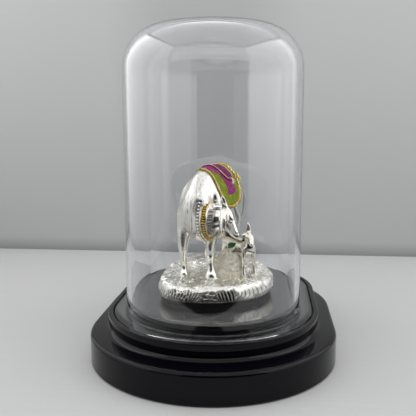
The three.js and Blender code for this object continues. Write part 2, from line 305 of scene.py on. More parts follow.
# Base, pad and dome: profiles of [radius, height] swept round the oval
oval = {
    "straightHalf": 18.45, "width": 115, "height": 151.4, "gap": 0.3, "arcSteps": 96, "straightSteps": 6,
    "tierTop": 14, "tierFillet": 2, "footChamfer": 0.8, "shelfInner": 51, "shelfRise": 0.4,
    "bandRadius": 49.1, "bandFoot": 17.8, "rimTop": 22.5, "rimFillet": 0.5, "rimRound": 0.3,
    "channelOuter": 46.8, "channelFloor": 20.1, "stageRadius": 37.7, "stageTop": 26.4, "stageChamfer": 0.6,
}
dome = {
    "outer": 40.44, "wall": 2.1, "fillet": 19.3,
    "flangeRadius": 46.2, "flangeThickness": 2, "footFillet": 0.8, "edgeRound": 0.35,
}


def corner(x, y, radius, start, end, steps):
    # an arc of a profile, between two angles
    angles = np.radians(np.linspace(start, end, steps + 1))
    return [(x + radius * math.cos(a), y + radius * math.sin(a)) for a in angles]


def sweepOval(profile):
    # two half circles with straights between them, and flat caps at both ends of the profile
    half, steps = oval["straightHalf"], oval["straightSteps"]
    arc = [(math.cos(a), math.sin(a)) for a in np.linspace(0, math.pi, oval["arcSteps"] + 1)]
    straight = [half - 2 * half * k / steps for k in range(1, steps)]
    way = np.array([(x, y, half) for x, y in arc] + [(-1, 0, shift) for shift in straight]
                   + [(-x, -y, -half) for x, y in arc] + [(1, 0, -shift) for shift in straight])
    rings = [np.column_stack([radius * way[:, 0], radius * way[:, 1] + way[:, 2], np.full(len(way), height)])
             for radius, height in profile]
    return np.vstack(rings), ringFaces(len(rings), len(way)) + endCaps(len(rings) * len(way), len(way))


def makeBase():
    o = SimpleNamespace(**oval)
    tier = o.width / 2
    return sweepOval([
        (tier - o.footChamfer - 3, 0), (tier - o.footChamfer, 0), (tier, o.footChamfer),
        *corner(tier - o.tierFillet, o.tierTop - o.tierFillet, o.tierFillet, 0, 90, 10),
        *corner(o.shelfInner, o.bandFoot, o.bandFoot - o.tierTop - o.shelfRise, 270, 210, 8),
        (o.bandRadius, o.bandFoot),
        *corner(o.bandRadius - o.rimFillet, o.rimTop - o.rimFillet, o.rimFillet, 0, 90, 5),
        *corner(o.channelOuter + o.rimRound, o.rimTop - o.rimRound, o.rimRound, 90, 180, 3),
        (o.channelOuter, o.channelFloor),
        (o.stageRadius, o.channelFloor),
        *corner(o.stageRadius - o.stageChamfer, o.stageTop - o.stageChamfer, o.stageChamfer, 0, 90, 5),
        (o.stageRadius - 3, o.stageTop),
    ])


def makeDome():
    d, high = SimpleNamespace(**dome), oval["height"]
    inner, shoulder, eaves = d.outer - d.wall, d.outer - d.fillet, high - d.fillet
    foot = oval["channelFloor"] + oval["gap"]
    top = foot + d.flangeThickness
    edge = d.edgeRound
    return sweepOval([
        (2, high - d.wall), (8, high - d.wall),
        *corner(shoulder, eaves, d.fillet - d.wall, 90, 0, 28),
        *[(inner, height) for height in np.linspace(eaves - 6, foot + 6, 8)],
        *corner(inner + edge, foot + edge, edge, 180, 270, 3),
        *corner(d.flangeRadius - edge, foot + edge, edge, 270, 360, 4),
        *corner(d.flangeRadius - edge, top - edge, edge, 0, 90, 4),
        *corner(d.outer + d.footFillet, top + d.footFillet, d.footFillet, 270, 180, 6),
        *[(d.outer, height) for height in np.linspace(top + 8, eaves - 6, 8)],
        *corner(shoulder, eaves, d.fillet, 0, 90, 28),
        (8, high), (2, high),
    ])


def blackGloss(name, colour, dust, ior, roughLow, roughHigh):
    material = newMaterial(name, {"IOR": ior})
    addRoughness(material, objectNoise(material, 25, detail=4), roughLow, roughHigh)
    paint(material, objectNoise(material, 900, detail=1), [(0.78, colour), (0.84, dust)])
    addBump(material, objectNoise(material, 40, detail=2), 0.03, 0.25)
    return material


def clearPlastic():
    material = newMaterial("clear_acrylic", {
        "Base Color": (0.985, 0.99, 1.0, 1), "Roughness": 0.0, "IOR": 1.49, "Transmission Weight": 1.0,
    })
    absorb = addNode(material, "VolumeAbsorption", {"Color": (0.5, 0.6, 0.73, 1), "Density": 17.0})
    link(material, absorb.outputs["Volume"], material.node_tree.nodes["Material Output"].inputs["Volume"])
    addBump(material, objectNoise(material, 9, detail=1), 0.05, 0.15)
    return material


def blackFoam():
    material = newMaterial("black_foam", {"Roughness": 0.9, "IOR": 1.2})
    cells = objectNoise(material, 1400, detail=2)
    paint(material, cells, [(0.3, (0.002, 0.002, 0.0025)), (0.7, (0.008, 0.008, 0.009))])
    addBump(material, cells, 0.1, 0.6)
    return material


baseBlack = blackGloss("black_gloss", (0.002, 0.0018, 0.0035), (0.05, 0.05, 0.055), 1.27, 0.05, 0.09)
stageBlack = blackGloss("stage_black", (0.006, 0.0055, 0.005), (0.05, 0.05, 0.05), 1.65, 0.015, 0.035)
baseObject = addMesh("moulded_base", *makeBase(), baseBlack, "base_black", sharpAngle=35)
baseObject.data.materials.append(stageBlack)
for face in baseObject.data.polygons:
    if face.center.z > (oval["stageTop"] - oval["stageChamfer"] - 0.1) * mm:
        face.material_index = 1
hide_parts("base")
domeObject = addMesh("clear_dome", *makeDome(), clearPlastic(), "dome_clear", sharpAngle=50)
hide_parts("dome")
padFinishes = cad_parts["rock_pad"].data.materials
padFinishes.clear()
padFinishes.append(blackFoam())
print("base and dome made")


# The animals. Each row is [back, left, height, half width, half depth] in the animal's own axes.
cowPlace = {"x": -7.5, "y": -14, "yaw": math.radians(9.5)}
calfPlace = {"x": 16.4, "y": -10, "yaw": math.radians(-32)}
cow = {
    "barrel": [[-1, .4, 68, 8.8, 12], [5, 1.6, 68.5, 10.6, 16], [13, 2.8, 69, 11.4, 17.4],
               [22, 3.1, 68.6, 12.2, 17.8], [32, 2.7, 69.3, 12.6, 17.4], [41, 1.2, 71, 13, 15.8],
               [49, .4, 72.4, 10.6, 12.4]],
    "barrelPinch": 0.25,
    "hump": [[-3, .2, 72, 5, 8], [2, 1.2, 76.6, 5.6, 9.4], [9, 1.5, 77.4, 6, 9]],
    "neck": [[6, -1, 70, 9.5, 13], [1, 2.2, 66.4, 8.4, 12], [-2.2, 5.6, 63.6, 7, 9],
             [-3.2, 8.6, 64.4, 5.6, 6.6], [-3.4, 11.6, 64.8, 4.6, 5.2], [-3.2, 14.4, 65.6, 3.6, 4.2]],
    "brisket": [[9, .5, 64.5, 8, 8.5], [2, 1.8, 62.6, 8, 9.2], [-3, 3.6, 62.1, 6.8, 8], [-6, 4.6, 62.6, 4, 5.6]],
    "forelegs": [[[6, -5, 74, 4, 6], [4, -7, 67, 4.4, 6.4], [2, -7.8, 58, 3.4, 4.2], [.6, -7.8, 50, 2.4, 2.8],
                  [.4, -7.6, 44, 1.7, 2.1], [.4, -7.4, 40, 1.6, 1.8], [0, -7.2, 36.3, 2.4, 2.7]],
                 [[6, 5, 74, 4, 6], [4, 7, 67, 4.4, 6.4], [2, 6.4, 58, 3.3, 4.2], [.2, 6, 50.5, 2.3, 2.8],
                  [0, 6, 47.4, 2.1, 2.4], [0, 6.1, 42.6, 1.5, 1.8], [-.2, 6.3, 39.4, 2, 2.1],
                  [-.5, 6.5, 36.2, 3.2, 3]]],
    "hindleg": [[43, 5, 75, 5, 8], [44, 7.4, 66, 5.6, 8.6], [43.5, 8, 58, 3.8, 5.8], [46.5, 7.6, 50.5, 2.1, 2.9],
                [45.5, 7.2, 42, 1.7, 1.9], [44.5, 7.2, 36.4, 2.5, 2.7]],
    "udder": [[34, 1, 53.4, 3.4, 2.6], [39, 1, 53.4, 4.2, 3.6]],
    "tail": [[53, 0, 80, 1.6, 1.6], [58, .4, 73, 1.2, 1.2], [57.5, 1, 62, 1.1, 1.1], [55, 1.6, 54, 1.7, 1.7],
             [54.5, 1.8, 46, .8, .8]],
}
calf = {
    "barrel": [[-.5, 0, 49.6, 3.2, 3.8], [5, 0, 49.6, 3.8, 4.3], [13, 0, 49.2, 3.9, 4.2], [21, 0, 49.8, 3.4, 3.7]],
    "barrelPinch": 0.1,
    "neck": [[2.5, 0, 50.6, 2.2, 2.8], [.6, -.4, 52.6, 1.9, 2.2], [-.6, -.8, 54.4, 1.6, 1.7]],
    "skull": [[.2, .4, 56, 1.7, 1.6], [-2.1, -.4, 54.2, 1.8, 1.8], [-4.5, -1.1, 51.8, 1.1, 1.1]],
    "foreleg": [[.5, 2.2, 49, 1.7, 2.1], [0, 2.8, 45, 1.2, 1.4], [0, 2.9, 40.4, .9, 1], [-.3, 3, 36.4, 1.4, 1.5]],
    "hindleg": [[20, 2, 49.5, 1.9, 2.6], [20.5, 2.3, 46, 1.4, 1.9], [22, 2.5, 42, .9, 1.1],
                [21.3, 2.5, 36.4, 1.3, 1.5]],
    "ears": [[[.4, 0, 56.4, 1.1, .7], [.5, 0, 59, 1.2, .7], [.5, -.4, 61.6, .4, .4]],
             [[.2, -1.1, 56, .9, .6], [.5, -2.7, 55.4, 1, .7], [.9, -3.7, 54.2, .5, .4]]],
    "tail": [[23, 0, 51.6, .8, .8], [25.6, .2, 47.6, .6, .6], [25, .4, 43, .8, .8]],
}


def placed(place, rows):
    rows = np.asarray(rows, float)
    back, left, height = rows[..., 0], rows[..., 1], rows[..., 2]
    sine, cosine = math.sin(place["yaw"]), math.cos(place["yaw"])
    return np.stack([place["x"] + back * sine + left * cosine,
                     place["y"] + back * cosine - left * sine, height], axis=-1)


def ownAxes(place, points):
    # the reverse of placed: back, left and height of points
    x, y = points[..., 0] - place["x"], points[..., 1] - place["y"]
    sine, cosine = math.sin(place["yaw"]), math.cos(place["yaw"])
    return np.stack([x * sine + y * cosine, x * cosine - y * sine, points[..., 2]], axis=-1)


def smoothThrough(points, perRow):
    # centripetal curve through the points
    points = np.asarray(points, float)
    ends = np.vstack([2 * points[0] - points[1], points, 2 * points[-1] - points[-2]])
    shares = np.linspace(0, 1, perRow, endpoint=False)[:, None]
    made = []
    for k in range(1, len(ends) - 2):
        a, b, c, d = ends[k - 1:k + 3]
        before, between, after = (max(np.sum((q - p) ** 2) ** 0.25, 1e-4) for p, q in ((a, b), (b, c), (c, d)))
        leave = ((b - a) / before - (c - a) / (before + between) + (c - b) / between) * between
        arrive = ((c - b) / between - (d - b) / (between + after) + (d - c) / after) * between
        cubic = 2 * b - 2 * c + leave + arrive
        square = -3 * b + 3 * c - 2 * leave - arrive
        made.append(b + leave * shares + square * shares ** 2 + cubic * shares ** 3)
    return np.vstack(made + [points[-1:]])


# Fields: distances to a form on a grid, which is negative inside
def newGrid(low, high, cell):
    count = np.ceil((np.array(high) - low) / cell).astype(int) + 1
    return {"low": np.array(low, float), "cell": cell, "field": np.full(count, faraway, np.float32)}


def blockOf(grid, low, high):
    # the part of the grid that holds a box
    first = np.maximum(np.floor((low - grid["low"]) / grid["cell"]).astype(int), 0)
    last = np.minimum(np.ceil((high - grid["low"]) / grid["cell"]).astype(int) + 1, grid["field"].shape)
    return first, np.maximum(last, first)


def gridLines(grid, first=(0, 0, 0), last=None):
    last = grid["field"].shape if last is None else last
    return [grid["low"][k] + grid["cell"] * np.arange(first[k], last[k]) for k in range(3)]


def axesOf(grid, first=(0, 0, 0), last=None):
    x, y, z = (line.astype(np.float32) for line in gridLines(grid, first, last))
    return x[:, None, None], y[None, :, None], z[None, None, :]


def along(axes, way):
    return axes[0] * np.float32(way[0]) + axes[1] * np.float32(way[1]) + axes[2] * np.float32(way[2])


def blendIn(field, other, blend):
    if blend <= 0:
        return np.minimum(field, other)
    nearness = np.maximum(blend - np.abs(field - other), 0) / blend
    return np.minimum(field, other) - nearness ** 2 * blend / 4


def joinTo(grid, first, last, other, blend, carve=False):
    # adds a form to a part of the grid, or carves it out
    sign = -1 if carve else 1
    part = grid["field"][tuple(slice(f, l) for f, l in zip(first, last))]
    part[...] = sign * blendIn(sign * part, other, blend)


def ellipsoidDistance(parts, radii, middle):
    outer = np.sqrt(sum((part / radius) ** 2 for part, radius in zip(parts, radii)))
    slope = np.sqrt(sum((part / radius ** 2) ** 2 for part, radius in zip(parts, radii)))
    return np.where(slope > tiny, outer * (outer - 1) / np.maximum(slope, tiny), middle)


def addLimb(grid, place, rows, direction, blend=0.0, pinch=0.0, perRow=5):
    # a form through the rows; half depths are measured in the direction given, and pinch narrows that end
    rows = np.asarray(rows, float)
    centres = smoothThrough(placed(place, rows), perRow)
    sizes = smoothThrough(rows[:, 3:5], perRow)
    margin = blend + 1.5
    reach = sizes.max() + margin
    first, last = blockOf(grid, centres.min(0) - reach, centres.max(0) + reach)
    own = np.full(last - first, faraway, np.float32)
    for a, b, sizeA, sizeB in zip(centres[:-1], centres[1:], sizes[:-1], sizes[1:]):
        step = b - a
        across = np.cross(direction, step)
        across /= np.linalg.norm(across)
        facing = np.cross(across, direction)
        span = step @ facing
        near = max(sizeA.max(), sizeB.max()) * (1 + pinch) + margin
        start, end = blockOf(grid, np.minimum(a, b) - near, np.maximum(a, b) + near)
        start, end = np.maximum(start, first), np.minimum(end, last)
        if (end <= start).any():
            continue
        axes = axesOf(grid, start, end)
        share = (along(axes, facing) - a @ facing) / span
        inside = unit(share)
        ahead = (share - inside) * span
        side = along(axes, across) - a @ across
        tall = along(axes, direction) - a @ direction - inside * (step @ direction)
        width, depth = (sizeA[k] + inside * (sizeB[k] - sizeA[k]) for k in range(2))
        cap = np.minimum(width, depth) * 0.8      # how far the round ends stand out
        width = width * (1 - pinch * np.clip(tall / depth, -1, 1))
        target = own[tuple(slice(s - f, e - f) for s, e, f in zip(start, end, first))]
        np.minimum(target, ellipsoidDistance((side, tall, ahead), (width, depth, cap), -cap), out=target)
    joinTo(grid, first, last, own, blend)


def addBall(grid, centre, radii, blend=0.0, carve=False):
    radii = np.broadcast_to(np.asarray(radii, float), 3)
    reach = radii.max() + blend + 1.5
    centre = np.asarray(centre, float)
    first, last = blockOf(grid, centre - reach, centre + reach)
    parts = [line - middle for line, middle in zip(axesOf(grid, first, last), centre)]
    joinTo(grid, first, last, ellipsoidDistance(parts, radii, -radii.min()), blend, carve)


def carveGroove(grid, path, radius, blend):
    for a, b in zip(path[:-1], path[1:]):
        reach = radius + blend + 1.0
        first, last = blockOf(grid, np.minimum(a, b) - reach, np.maximum(a, b) + reach)
        axes = axesOf(grid, first, last)
        step = b - a
        share = unit((along(axes, step) - a @ step) / max(step @ step, tiny))
        away = sum((axes[k] - (a[k] + share * step[k])) ** 2 for k in range(3))
        joinTo(grid, first, last, np.sqrt(away) - radius, blend, carve=True)


def outlineDistance(spots, outline):
    # distance to a closed outline, negative inside
    outline = np.asarray(outline, float)
    nearest = np.full(spots.shape[:-1], 1e9)
    inside = np.zeros(spots.shape[:-1], bool)
    for a, b in zip(outline, np.roll(outline, -1, axis=0)):
        edge = b - a
        away = spots - a
        share = unit((away @ edge) / (edge @ edge))
        nearest = np.minimum(nearest, np.sum((away - share[..., None] * edge) ** 2, axis=-1))
        if a[1] != b[1]:
            between = (spots[..., 1] > min(a[1], b[1])) & (spots[..., 1] <= max(a[1], b[1]))
            crossing = a[0] + (spots[..., 1] - a[1]) * edge[0] / edge[1]
            inside ^= between & (spots[..., 0] < crossing)
    return np.where(inside, -1, 1) * np.sqrt(nearest)


def addPlate(grid, plate, blend=0.0, carve=False):
    # an outline in the upright plane across x, given a thickness and round edges; thick is one half thickness,
    # or rows of height and half thickness
    outline, thick, edge = np.array(plate["outline"], float), np.atleast_2d(plate["thick"]), plate["edge"]
    reach = blend + 1.0
    deep = thick[:, -1].max() + 3 * reach
    (left, foot), (right, top) = outline.min(0) - reach, outline.max(0) + reach
    first, last = blockOf(grid, np.array([left, plate["y"] - deep, foot]), np.array([right, plate["y"] + deep, top]))
    x, y, z = gridLines(grid, first, last)
    flat = np.stack(np.meshgrid(x, z, indexing="ij"), axis=-1)
    over = (outlineDistance(flat, outline) + edge)[:, None, :]
    half = np.interp(flat[..., 1], thick[:, 0], thick[:, -1])[:, None, :]
    half = half - plate.get("dome", 0) * unit(over / (2 * edge) + 0.5) ** 2
    away = flat - outline.mean(axis=0)
    middle = plate["y"] + plate.get("lean", 0) * away[..., 0] + plate.get("slope", 0) * away[..., 1]
    side = np.abs(y[None, :, None] - middle[:, None, :]) - half + edge
    outer = np.sqrt(np.maximum(over, 0) ** 2 + np.maximum(side, 0) ** 2)
    own = (outer + np.minimum(np.maximum(over, side), 0) - edge).astype(np.float32)
    joinTo(grid, first, last, own, blend, carve)


def soften(grid):
    # one round of blurring along each axis
    for axis in range(3):
        moved = np.moveaxis(grid["field"], axis, 0)
        moved[1:-1] = 0.25 * moved[:-2] + 0.5 * moved[1:-1] + 0.25 * moved[2:]


cubeCorners = [(i, j, k) for i in (0, 1) for j in (0, 1) for k in (0, 1)]


def netOf(grid):
    # one point in each cell that the surface crosses, and a face across each crossed grid line
    field = grid["field"]
    shape = np.array(field.shape)

    def shifted(array, place):
        return array[tuple(slice(p, n - 1 + p) for p, n in zip(place, shape))]

    inside = field < 0
    count = sum(shifted(inside, corner).astype(np.int8) for corner in cubeCorners)
    active = (count > 0) & (count < 8)
    cells = np.argwhere(active)
    index = np.full(active.shape, -1)
    index[active] = np.arange(len(cells))
    total, hits = np.zeros((len(cells), 3)), np.zeros(len(cells))
    values = {corner: shifted(field, corner)[active] for corner in cubeCorners}
    ways = np.eye(3, dtype=int)
    for a in cubeCorners:
        for axis in range(3):
            if a[axis]:
                continue
            b = tuple(a + ways[axis])
            crossed = (values[a] < 0) != (values[b] < 0)
            share = np.where(crossed, values[a] / np.where(crossed, values[a] - values[b], 1), 0)
            total += (np.array(a) + share[:, None] * ways[axis]) * crossed[:, None]
            hits += crossed
    points = (cells + total / hits[:, None]) * grid["cell"] + grid["low"]
    faces = []
    for axis in range(3):
        one, two = ways[(axis + 1) % 3], ways[(axis + 2) % 3]
        low = np.take(inside, range(shape[axis] - 1), axis)
        high = np.take(inside, range(1, shape[axis]), axis)
        spots = np.argwhere(low != high)
        spots = spots[((spots - one - two) >= 0).all(1) & (spots + 1 < shape).all(1)]
        order = np.stack([index[tuple((spots - back).T)] for back in (one + two, two, 0 * one, one)], axis=1)
        turned = ~low[tuple(spots.T)]
        order[turned] = order[turned][:, ::-1]
        faces.append(order)
    return points, np.vstack(faces)


def surfaceOf(grid, rounds):
    # the net of a form, evened out by pulls to the neighbours' mean and back, which don't shrink it
    points, faces = netOf(grid)
    starts, ends = np.vstack([faces[:, [k, (k + 1) % 4]] for k in range(4)]).T
    count = len(points)
    degree = np.maximum(np.bincount(starts, minlength=count) + np.bincount(ends, minlength=count), 1)
    for strength in (0.5, -0.52) * rounds:
        total = np.column_stack([np.bincount(starts, column[ends], count) + np.bincount(ends, column[starts], count)
                                 for column in points.T])
        points = points + strength * (total / degree[:, None] - points)
    return points, faces


def normalsOf(points, faces):
    a, b, c, d = (points[faces[:, k]] for k in range(4))
    return asWays(np.column_stack([sum(np.bincount(faces[:, k], column, len(points)) for k in range(4))
                                   for column in np.cross(c - a, d - b).T]))


def evenly(path, spacing):
    length = lengthAlong(path)
    count = max(int(length[-1] / spacing), 2)
    return pointsAt(path, length, np.linspace(0, length[-1], count + 1)), length[-1]


def valueAt(grid, points):
    spots = np.clip((points - grid["low"]) / grid["cell"], 0, np.array(grid["field"].shape) - 1.001)
    first = np.floor(spots).astype(int)
    share = spots - first
    total = np.zeros(points.shape[:-1])
    for corner in cubeCorners:
        weight = np.where(corner, share, 1 - share).prod(axis=-1)
        total += weight * grid["field"][tuple(np.moveaxis(first + corner, -1, 0))]
    return total


def onSurface(grid, starts, ways, reach, lift=0.0, raySteps=160):
    # the outermost place where each ray leaves the form
    steps = np.linspace(0, reach, raySteps)
    values = valueAt(grid, starts[:, None, :] + ways[:, None, :] * steps[None, :, None])
    out = (values[:, :-1] < 0) & (values[:, 1:] >= 0)
    last = out.shape[1] - 1 - np.argmax(out[:, ::-1], axis=1)
    rows = np.arange(len(starts))
    low, high = values[rows, last], values[rows, last + 1]
    share = unit(low / np.where(low == high, 1, low - high))
    return starts + ways * (steps[last] + share * steps[1] + lift)[:, None]


def gradientAt(grid, points):
    return asWays(np.stack([valueAt(grid, points + shift) - valueAt(grid, points - shift)
                            for shift in np.eye(3) * grid["cell"]], axis=-1))


# Finishes of the casting
def carvedMaterial(name, light, cutShadeColour, roughLow, roughHigh, grainScale, grainDepth, metal=1.0):
    # silver darkened by the cut attribute: a dark tarnish in carved cuts, and painted shade in creases, grooves and
    # hollows
    material = newMaterial(name, {"Metallic": metal})
    tone = objectNoise(material, 160, detail=4)
    dull = [channel * 0.88 for channel in light]
    paintCutsAndShade(material, ramp(material, tone, [(0.3, dull), (0.62, light)]), cutShadeColour)
    addRoughness(material, tone, roughLow, roughHigh)
    addBump(material, objectNoise(material, grainScale, detail=4), grainDepth, 0.8)
    return material


def bodyMaterial(*values):
    # satin on the shoulder, bright on the legs and the left flank
    material = carvedMaterial("cow_silver", *values)
    rough = shaderInput(material, "Roughness")
    satin = rough.links[0].from_socket
    for axis, *span in (("Z", 50, 57, 0.3, 1.0), ("X", 3, 10, 1.0, 0.4)):
        scaled = addNode(material, "Math", operation="MULTIPLY")
        link(material, satin, scaled.inputs[0])
        link(material, placeRange(material, *span, axis), scaled.inputs[1])
        satin = scaled.outputs["Value"]
    link(material, satin, rough)
    return material


# colour, dark colour for the cuts and the painted shade, least and most roughness, scale and depth of the grain
brushed = bodyMaterial((0.97, 0.945, 0.875), (0.05, 0.047, 0.04), 0.24, 0.4, 300, 0.12)
polished = carvedMaterial("polished_silver", (0.96, 0.935, 0.865), (0.10, 0.095, 0.085), 0.1, 0.2, 300, 0.08)
calfSilver = carvedMaterial("calf_silver", (0.92, 0.885, 0.8), (0.05, 0.047, 0.04), 0.06, 0.15, 300, 0.08)
carved = carvedMaterial("carved_silver", (1.0, 0.975, 0.89), (0.03, 0.028, 0.025), 0.16, 0.3, 700, 0.08, metal=0.85)
# the heap's silver is painted pale cream and made nearly not metallic: a painted warm reflection that keeps it bright
# in the shade of the cow and calf
fodder = carvedMaterial("fodder_silver", (1.0, 0.96, 0.8), (0.8, 0.73, 0.5), 0.25, 0.42, 900, 0.25, metal=0.12)

# The neck comes off the body at the neck band: the body ends under it, and the neck begins there
neckSeam = 5.4


def leftOf(grid):
    # how far left in the cow's own axes
    way = np.array([math.cos(cowPlace["yaw"]), -math.sin(cowPlace["yaw"]), 0])
    return along(axesOf(grid), way) - way @ [cowPlace["x"], cowPlace["y"], 0]


def onSide(rows, side):
    rows = np.array(rows, float)
    rows[:, 1] *= side
    return rows


def addNeck(grid):
    addLimb(grid, cowPlace, cow["neck"], up, perRow=8)
    addLimb(grid, cowPlace, cow["brisket"], up, blend=2)


def addTrunk(grid):
    addLimb(grid, cowPlace, cow["barrel"], up, pinch=cow["barrelPinch"])
    addLimb(grid, cowPlace, cow["hump"], up, blend=3)


def buildBody(grid):
    neck = dict(grid, field=grid["field"].copy())
    addNeck(neck)
    addTrunk(grid)
    for rows, direction, blend in ([(rows, forward, 2) for rows in cow["forelegs"]]
                                   + [(onSide(cow["hindleg"], side), forward, 3) for side in (-1, 1)]
                                   + [(cow["udder"], up, 2), (cow["tail"], forward, 1)]):
        addLimb(grid, cowPlace, rows, direction, blend)
    grid["field"] = blendIn(grid["field"], np.maximum(neck["field"], leftOf(grid) - neckSeam - 0.4), 1.6)


# Head: flat leaves with round edges for the face, ears and horns, each an outline of [x, height]
head = {
    "face": {"outline": [(3.6, 70.8), (5.5, 71.5), (7.5, 70), (9, 67.9), (9.9, 65.3), (10.8, 62.6), (11.8, 60),
                         (12.5, 57.9), (11.9, 56.6), (10.3, 56.4), (8.7, 57.3), (7.3, 58.6), (6, 60), (3.4, 61)],
             "thick": [(56, 2.25), (60, 2.5), (64, 2.75), (67, 2.9), (71, 2.5)],
             "y": -20.8, "edge": 1.7, "lean": -0.36, "slope": 0.2},
    "dropEar": {"outline": [(3.5, 69.7), (4.8, 70), (6, 67.9), (6.6, 64.9), (6.5, 61.7), (5.5, 59.5), (4.4, 58.8),
                            (3.4, 60.5), (3.1, 64.4), (3.1, 67.7)],
                "thick": [1.2], "y": -24.4, "edge": 1.1, "dome": 0.35, "lean": -0.5, "slope": 0.27},
    "dropHollow": {"outline": [(5.5, 65.3), (5.9, 65), (6.1, 62.8), (5.7, 60.9), (5.3, 60.2), (5.3, 62.3)],
                   "thick": [0.7], "y": -26.2, "edge": 0.3, "lean": -0.5, "slope": 0.27},
    "farEar": {"outline": [(3.5, 70.1), (3.4, 73.3), (4, 75.4), (4.9, 75.7), (6, 73.9), (7.3, 70.3), (6.2, 69.2)],
               "thick": [1.2], "y": -20.4, "edge": 1.1, "dome": 0.4},
    "farHollow": {"outline": [(4.3, 74.8), (5.1, 74.6), (5.9, 72.4), (5.6, 71.4), (4.7, 72.3)],
                  "thick": [0.75], "y": -21.6, "edge": 0.4},
    "farDrop": [[-1.2, 13.4, 68.4, 1, .8], [-.4, 14.2, 64.4, 1.7, .9], [-.4, 14.3, 60.4, 1, .7]],
    "horn": {"outline": [(-.5, 69.5), (-.4, 73.8), (.1, 76.1), (1, 77.4), (1.9, 75.9), (2.4, 73.4), (3, 69.5)],
             "thick": [1.5], "y": -19.4, "edge": 1.4},
    "hornHollow": {"outline": [(.6, 75.9), (1.5, 75.7), (1.7, 73.6), (.9, 73)],
                   "thick": [0.6], "y": -21.0, "edge": 0.4},
    "poll": {"centre": (2.2, -21.0, 70.4), "size": (2.4, 1.7, 1.3)},
    "socket": {"centre": (9.15, -23.2, 64.9), "size": (0.75, 0.65, 0.5)},
    "eye": {"centre": (9.15, -22.6, 64.85), "size": (0.52, 0.55, 0.4)},
    "crease": {"path": [(7.5, -23.0, 63.9), (8.2, -23.3, 63.4), (9.0, -23.4, 63.6)], "radius": 0.2},
    "nostril": {"centre": (11.6, -24.6, 58.9), "size": (0.45, 0.6, 0.35)},
    "mouth": {"path": [(7.9, -24.5, 59.3), (8.8, -24.8, 58.6), (10, -24.85, 58), (11.3, -25.0, 57.7),
                       (12.8, -24.5, 58)], "radius": 0.26},
    "neckEnd": 6.2, "cell": 0.22,
}


def keepBehindFace(grid):
    # beside the ear the neck stays behind the front of the face
    x, y, z = gridLines(grid)
    face = head["face"]
    middle = np.mean(face["outline"], axis=0)
    heights, halves = np.array(face["thick"]).T
    front = (face["y"] + face["lean"] * (x[:, None] - middle[0]) + face["slope"] * (z - middle[1])
             - np.interp(z, heights, halves))
    behind = front[:, None, :] + 0.3 - y[None, :, None]
    grid["field"] = np.maximum(grid["field"], np.minimum(x[:, None, None] - head["neckEnd"], behind))


def addHeadPart(grid, name, blend):
    # hollows, the eye's socket and the nostril are carved out, and a path is a carved line
    part = head[name]
    carve = name.endswith("Hollow") or name in ("socket", "nostril")
    if "path" in part:
        carveGroove(grid, np.array(part["path"]), part["radius"], blend)
    elif "centre" in part:
        addBall(grid, part["centre"], part["size"], blend, carve)
    else:
        addPlate(grid, part, blend, carve)


def buildHead(grid):
    addNeck(grid)
    grid["field"] = np.maximum(grid["field"], neckSeam - leftOf(grid))
    addHeadPart(grid, "horn", 0.6)
    addHeadPart(grid, "hornHollow", 0.15)
    keepBehindFace(grid)
    addHeadPart(grid, "face", 1.0)
    addHeadPart(grid, "farEar", 0.4)
    addLimb(grid, cowPlace, head["farDrop"], forward, blend=0.5)
    for name, blend in (("farHollow", 0.15), ("poll", 0.7), ("socket", 0.3), ("eye", 0.05), ("nostril", 0.12),
                        ("crease", 0.12), ("mouth", 0.12), ("dropEar", 0.15), ("dropHollow", 0.15)):
        addHeadPart(grid, name, blend)


def builtOn(low, high, cell, build):
    # a form built on a grid of its own, and softened once
    grid = newGrid(low, high, cell)
    build(grid)
    soften(grid)
    return grid


cowGrid = builtOn((-27, -30, 33), (18, 49, 92), 0.42, buildBody)
headGrid = builtOn((-7, -29, 51), (16, -9, 79), head["cell"], buildHead)
neckGrid = builtOn((-24, -30, 48), (14, 2, 84), 0.5, addNeck)      # for the rings round the neck


# Folds of skin hang from the crest of the neck and fan out over the chest
folds = {"crest": (4.0, -1.0, 86.0), "spacing": 0.085, "depth": 0.36, "wander": 0.35}


def foldDepth(own):
    back, left, height = own.T
    down = np.maximum(folds["crest"][2] - height, 1)
    fan = (left - folds["crest"][1]) / (down + 8)
    wander = folds["wander"] * np.sin(0.55 * height + 5 * left) + 0.5 * np.sin(0.23 * height + 2.1)
    phase = fan / folds["spacing"] * 2 + 0.35 * wander
    groove = unit(1 - np.abs(((phase + 0.5) % 1) - 0.5) * 4.2) ** 1.5
    strong = 0.55 + 0.45 * np.sin(3.7 * np.floor(phase + 0.5) + 0.12 * height)
    where = (unit((left + 7.5) / 3) * unit((neckSeam + 0.2 - left) / 1.5)
             * unit((6 - back) / 4) * unit((height - 55.5) / 2) * unit((86 - height) / 4))
    return folds["depth"] * groove * strong * where


# Rings round the neck: what they go round in the cow's own axes, and how many points they have
neckRings = {"back": -1.0, "height": 63.4, "steps": 240, "crest": 72.4}


def neckRing(left, lift=0.0, deepest=1.0, count=neckRings["steps"]):
    angles = np.linspace(0, 2 * math.pi, count, endpoint=False)
    back, across, height = (np.full(count, place) for place in (neckRings["back"], left, neckRings["height"]))
    # it bows to the left below and above its middle, and to the right behind
    for _ in range(3):
        starts = placed(cowPlace, np.column_stack([back, across, height]))
        ways = placed(cowPlace, np.column_stack([back - np.cos(angles), across, height + np.sin(angles)])) - starts
        ring = onSurface(neckGrid, starts, ways, 22, lift)
        behind = np.clip(ownAxes(cowPlace, ring)[:, 0] - neckRings["back"], 0, 6)
        across = left - 0.3 + 0.023 * np.clip(63.7 - ring[:, 2], -2, 9) ** 2 - 0.6 * behind
    # where the shoulder stands over the neck the ring is lifted out of it, but not above the neck's crest
    share = unit((valueAt(cowGrid, ring) + deepest) / 0.4) * unit((neckRings["crest"] - ring[:, 2]) / 0.6)
    for _ in range(4):
        buried = np.clip(lift - valueAt(cowGrid, ring), 0, 1.2) * share
        ring = ring + gradientAt(cowGrid, ring) * buried[:, None]
    return ring
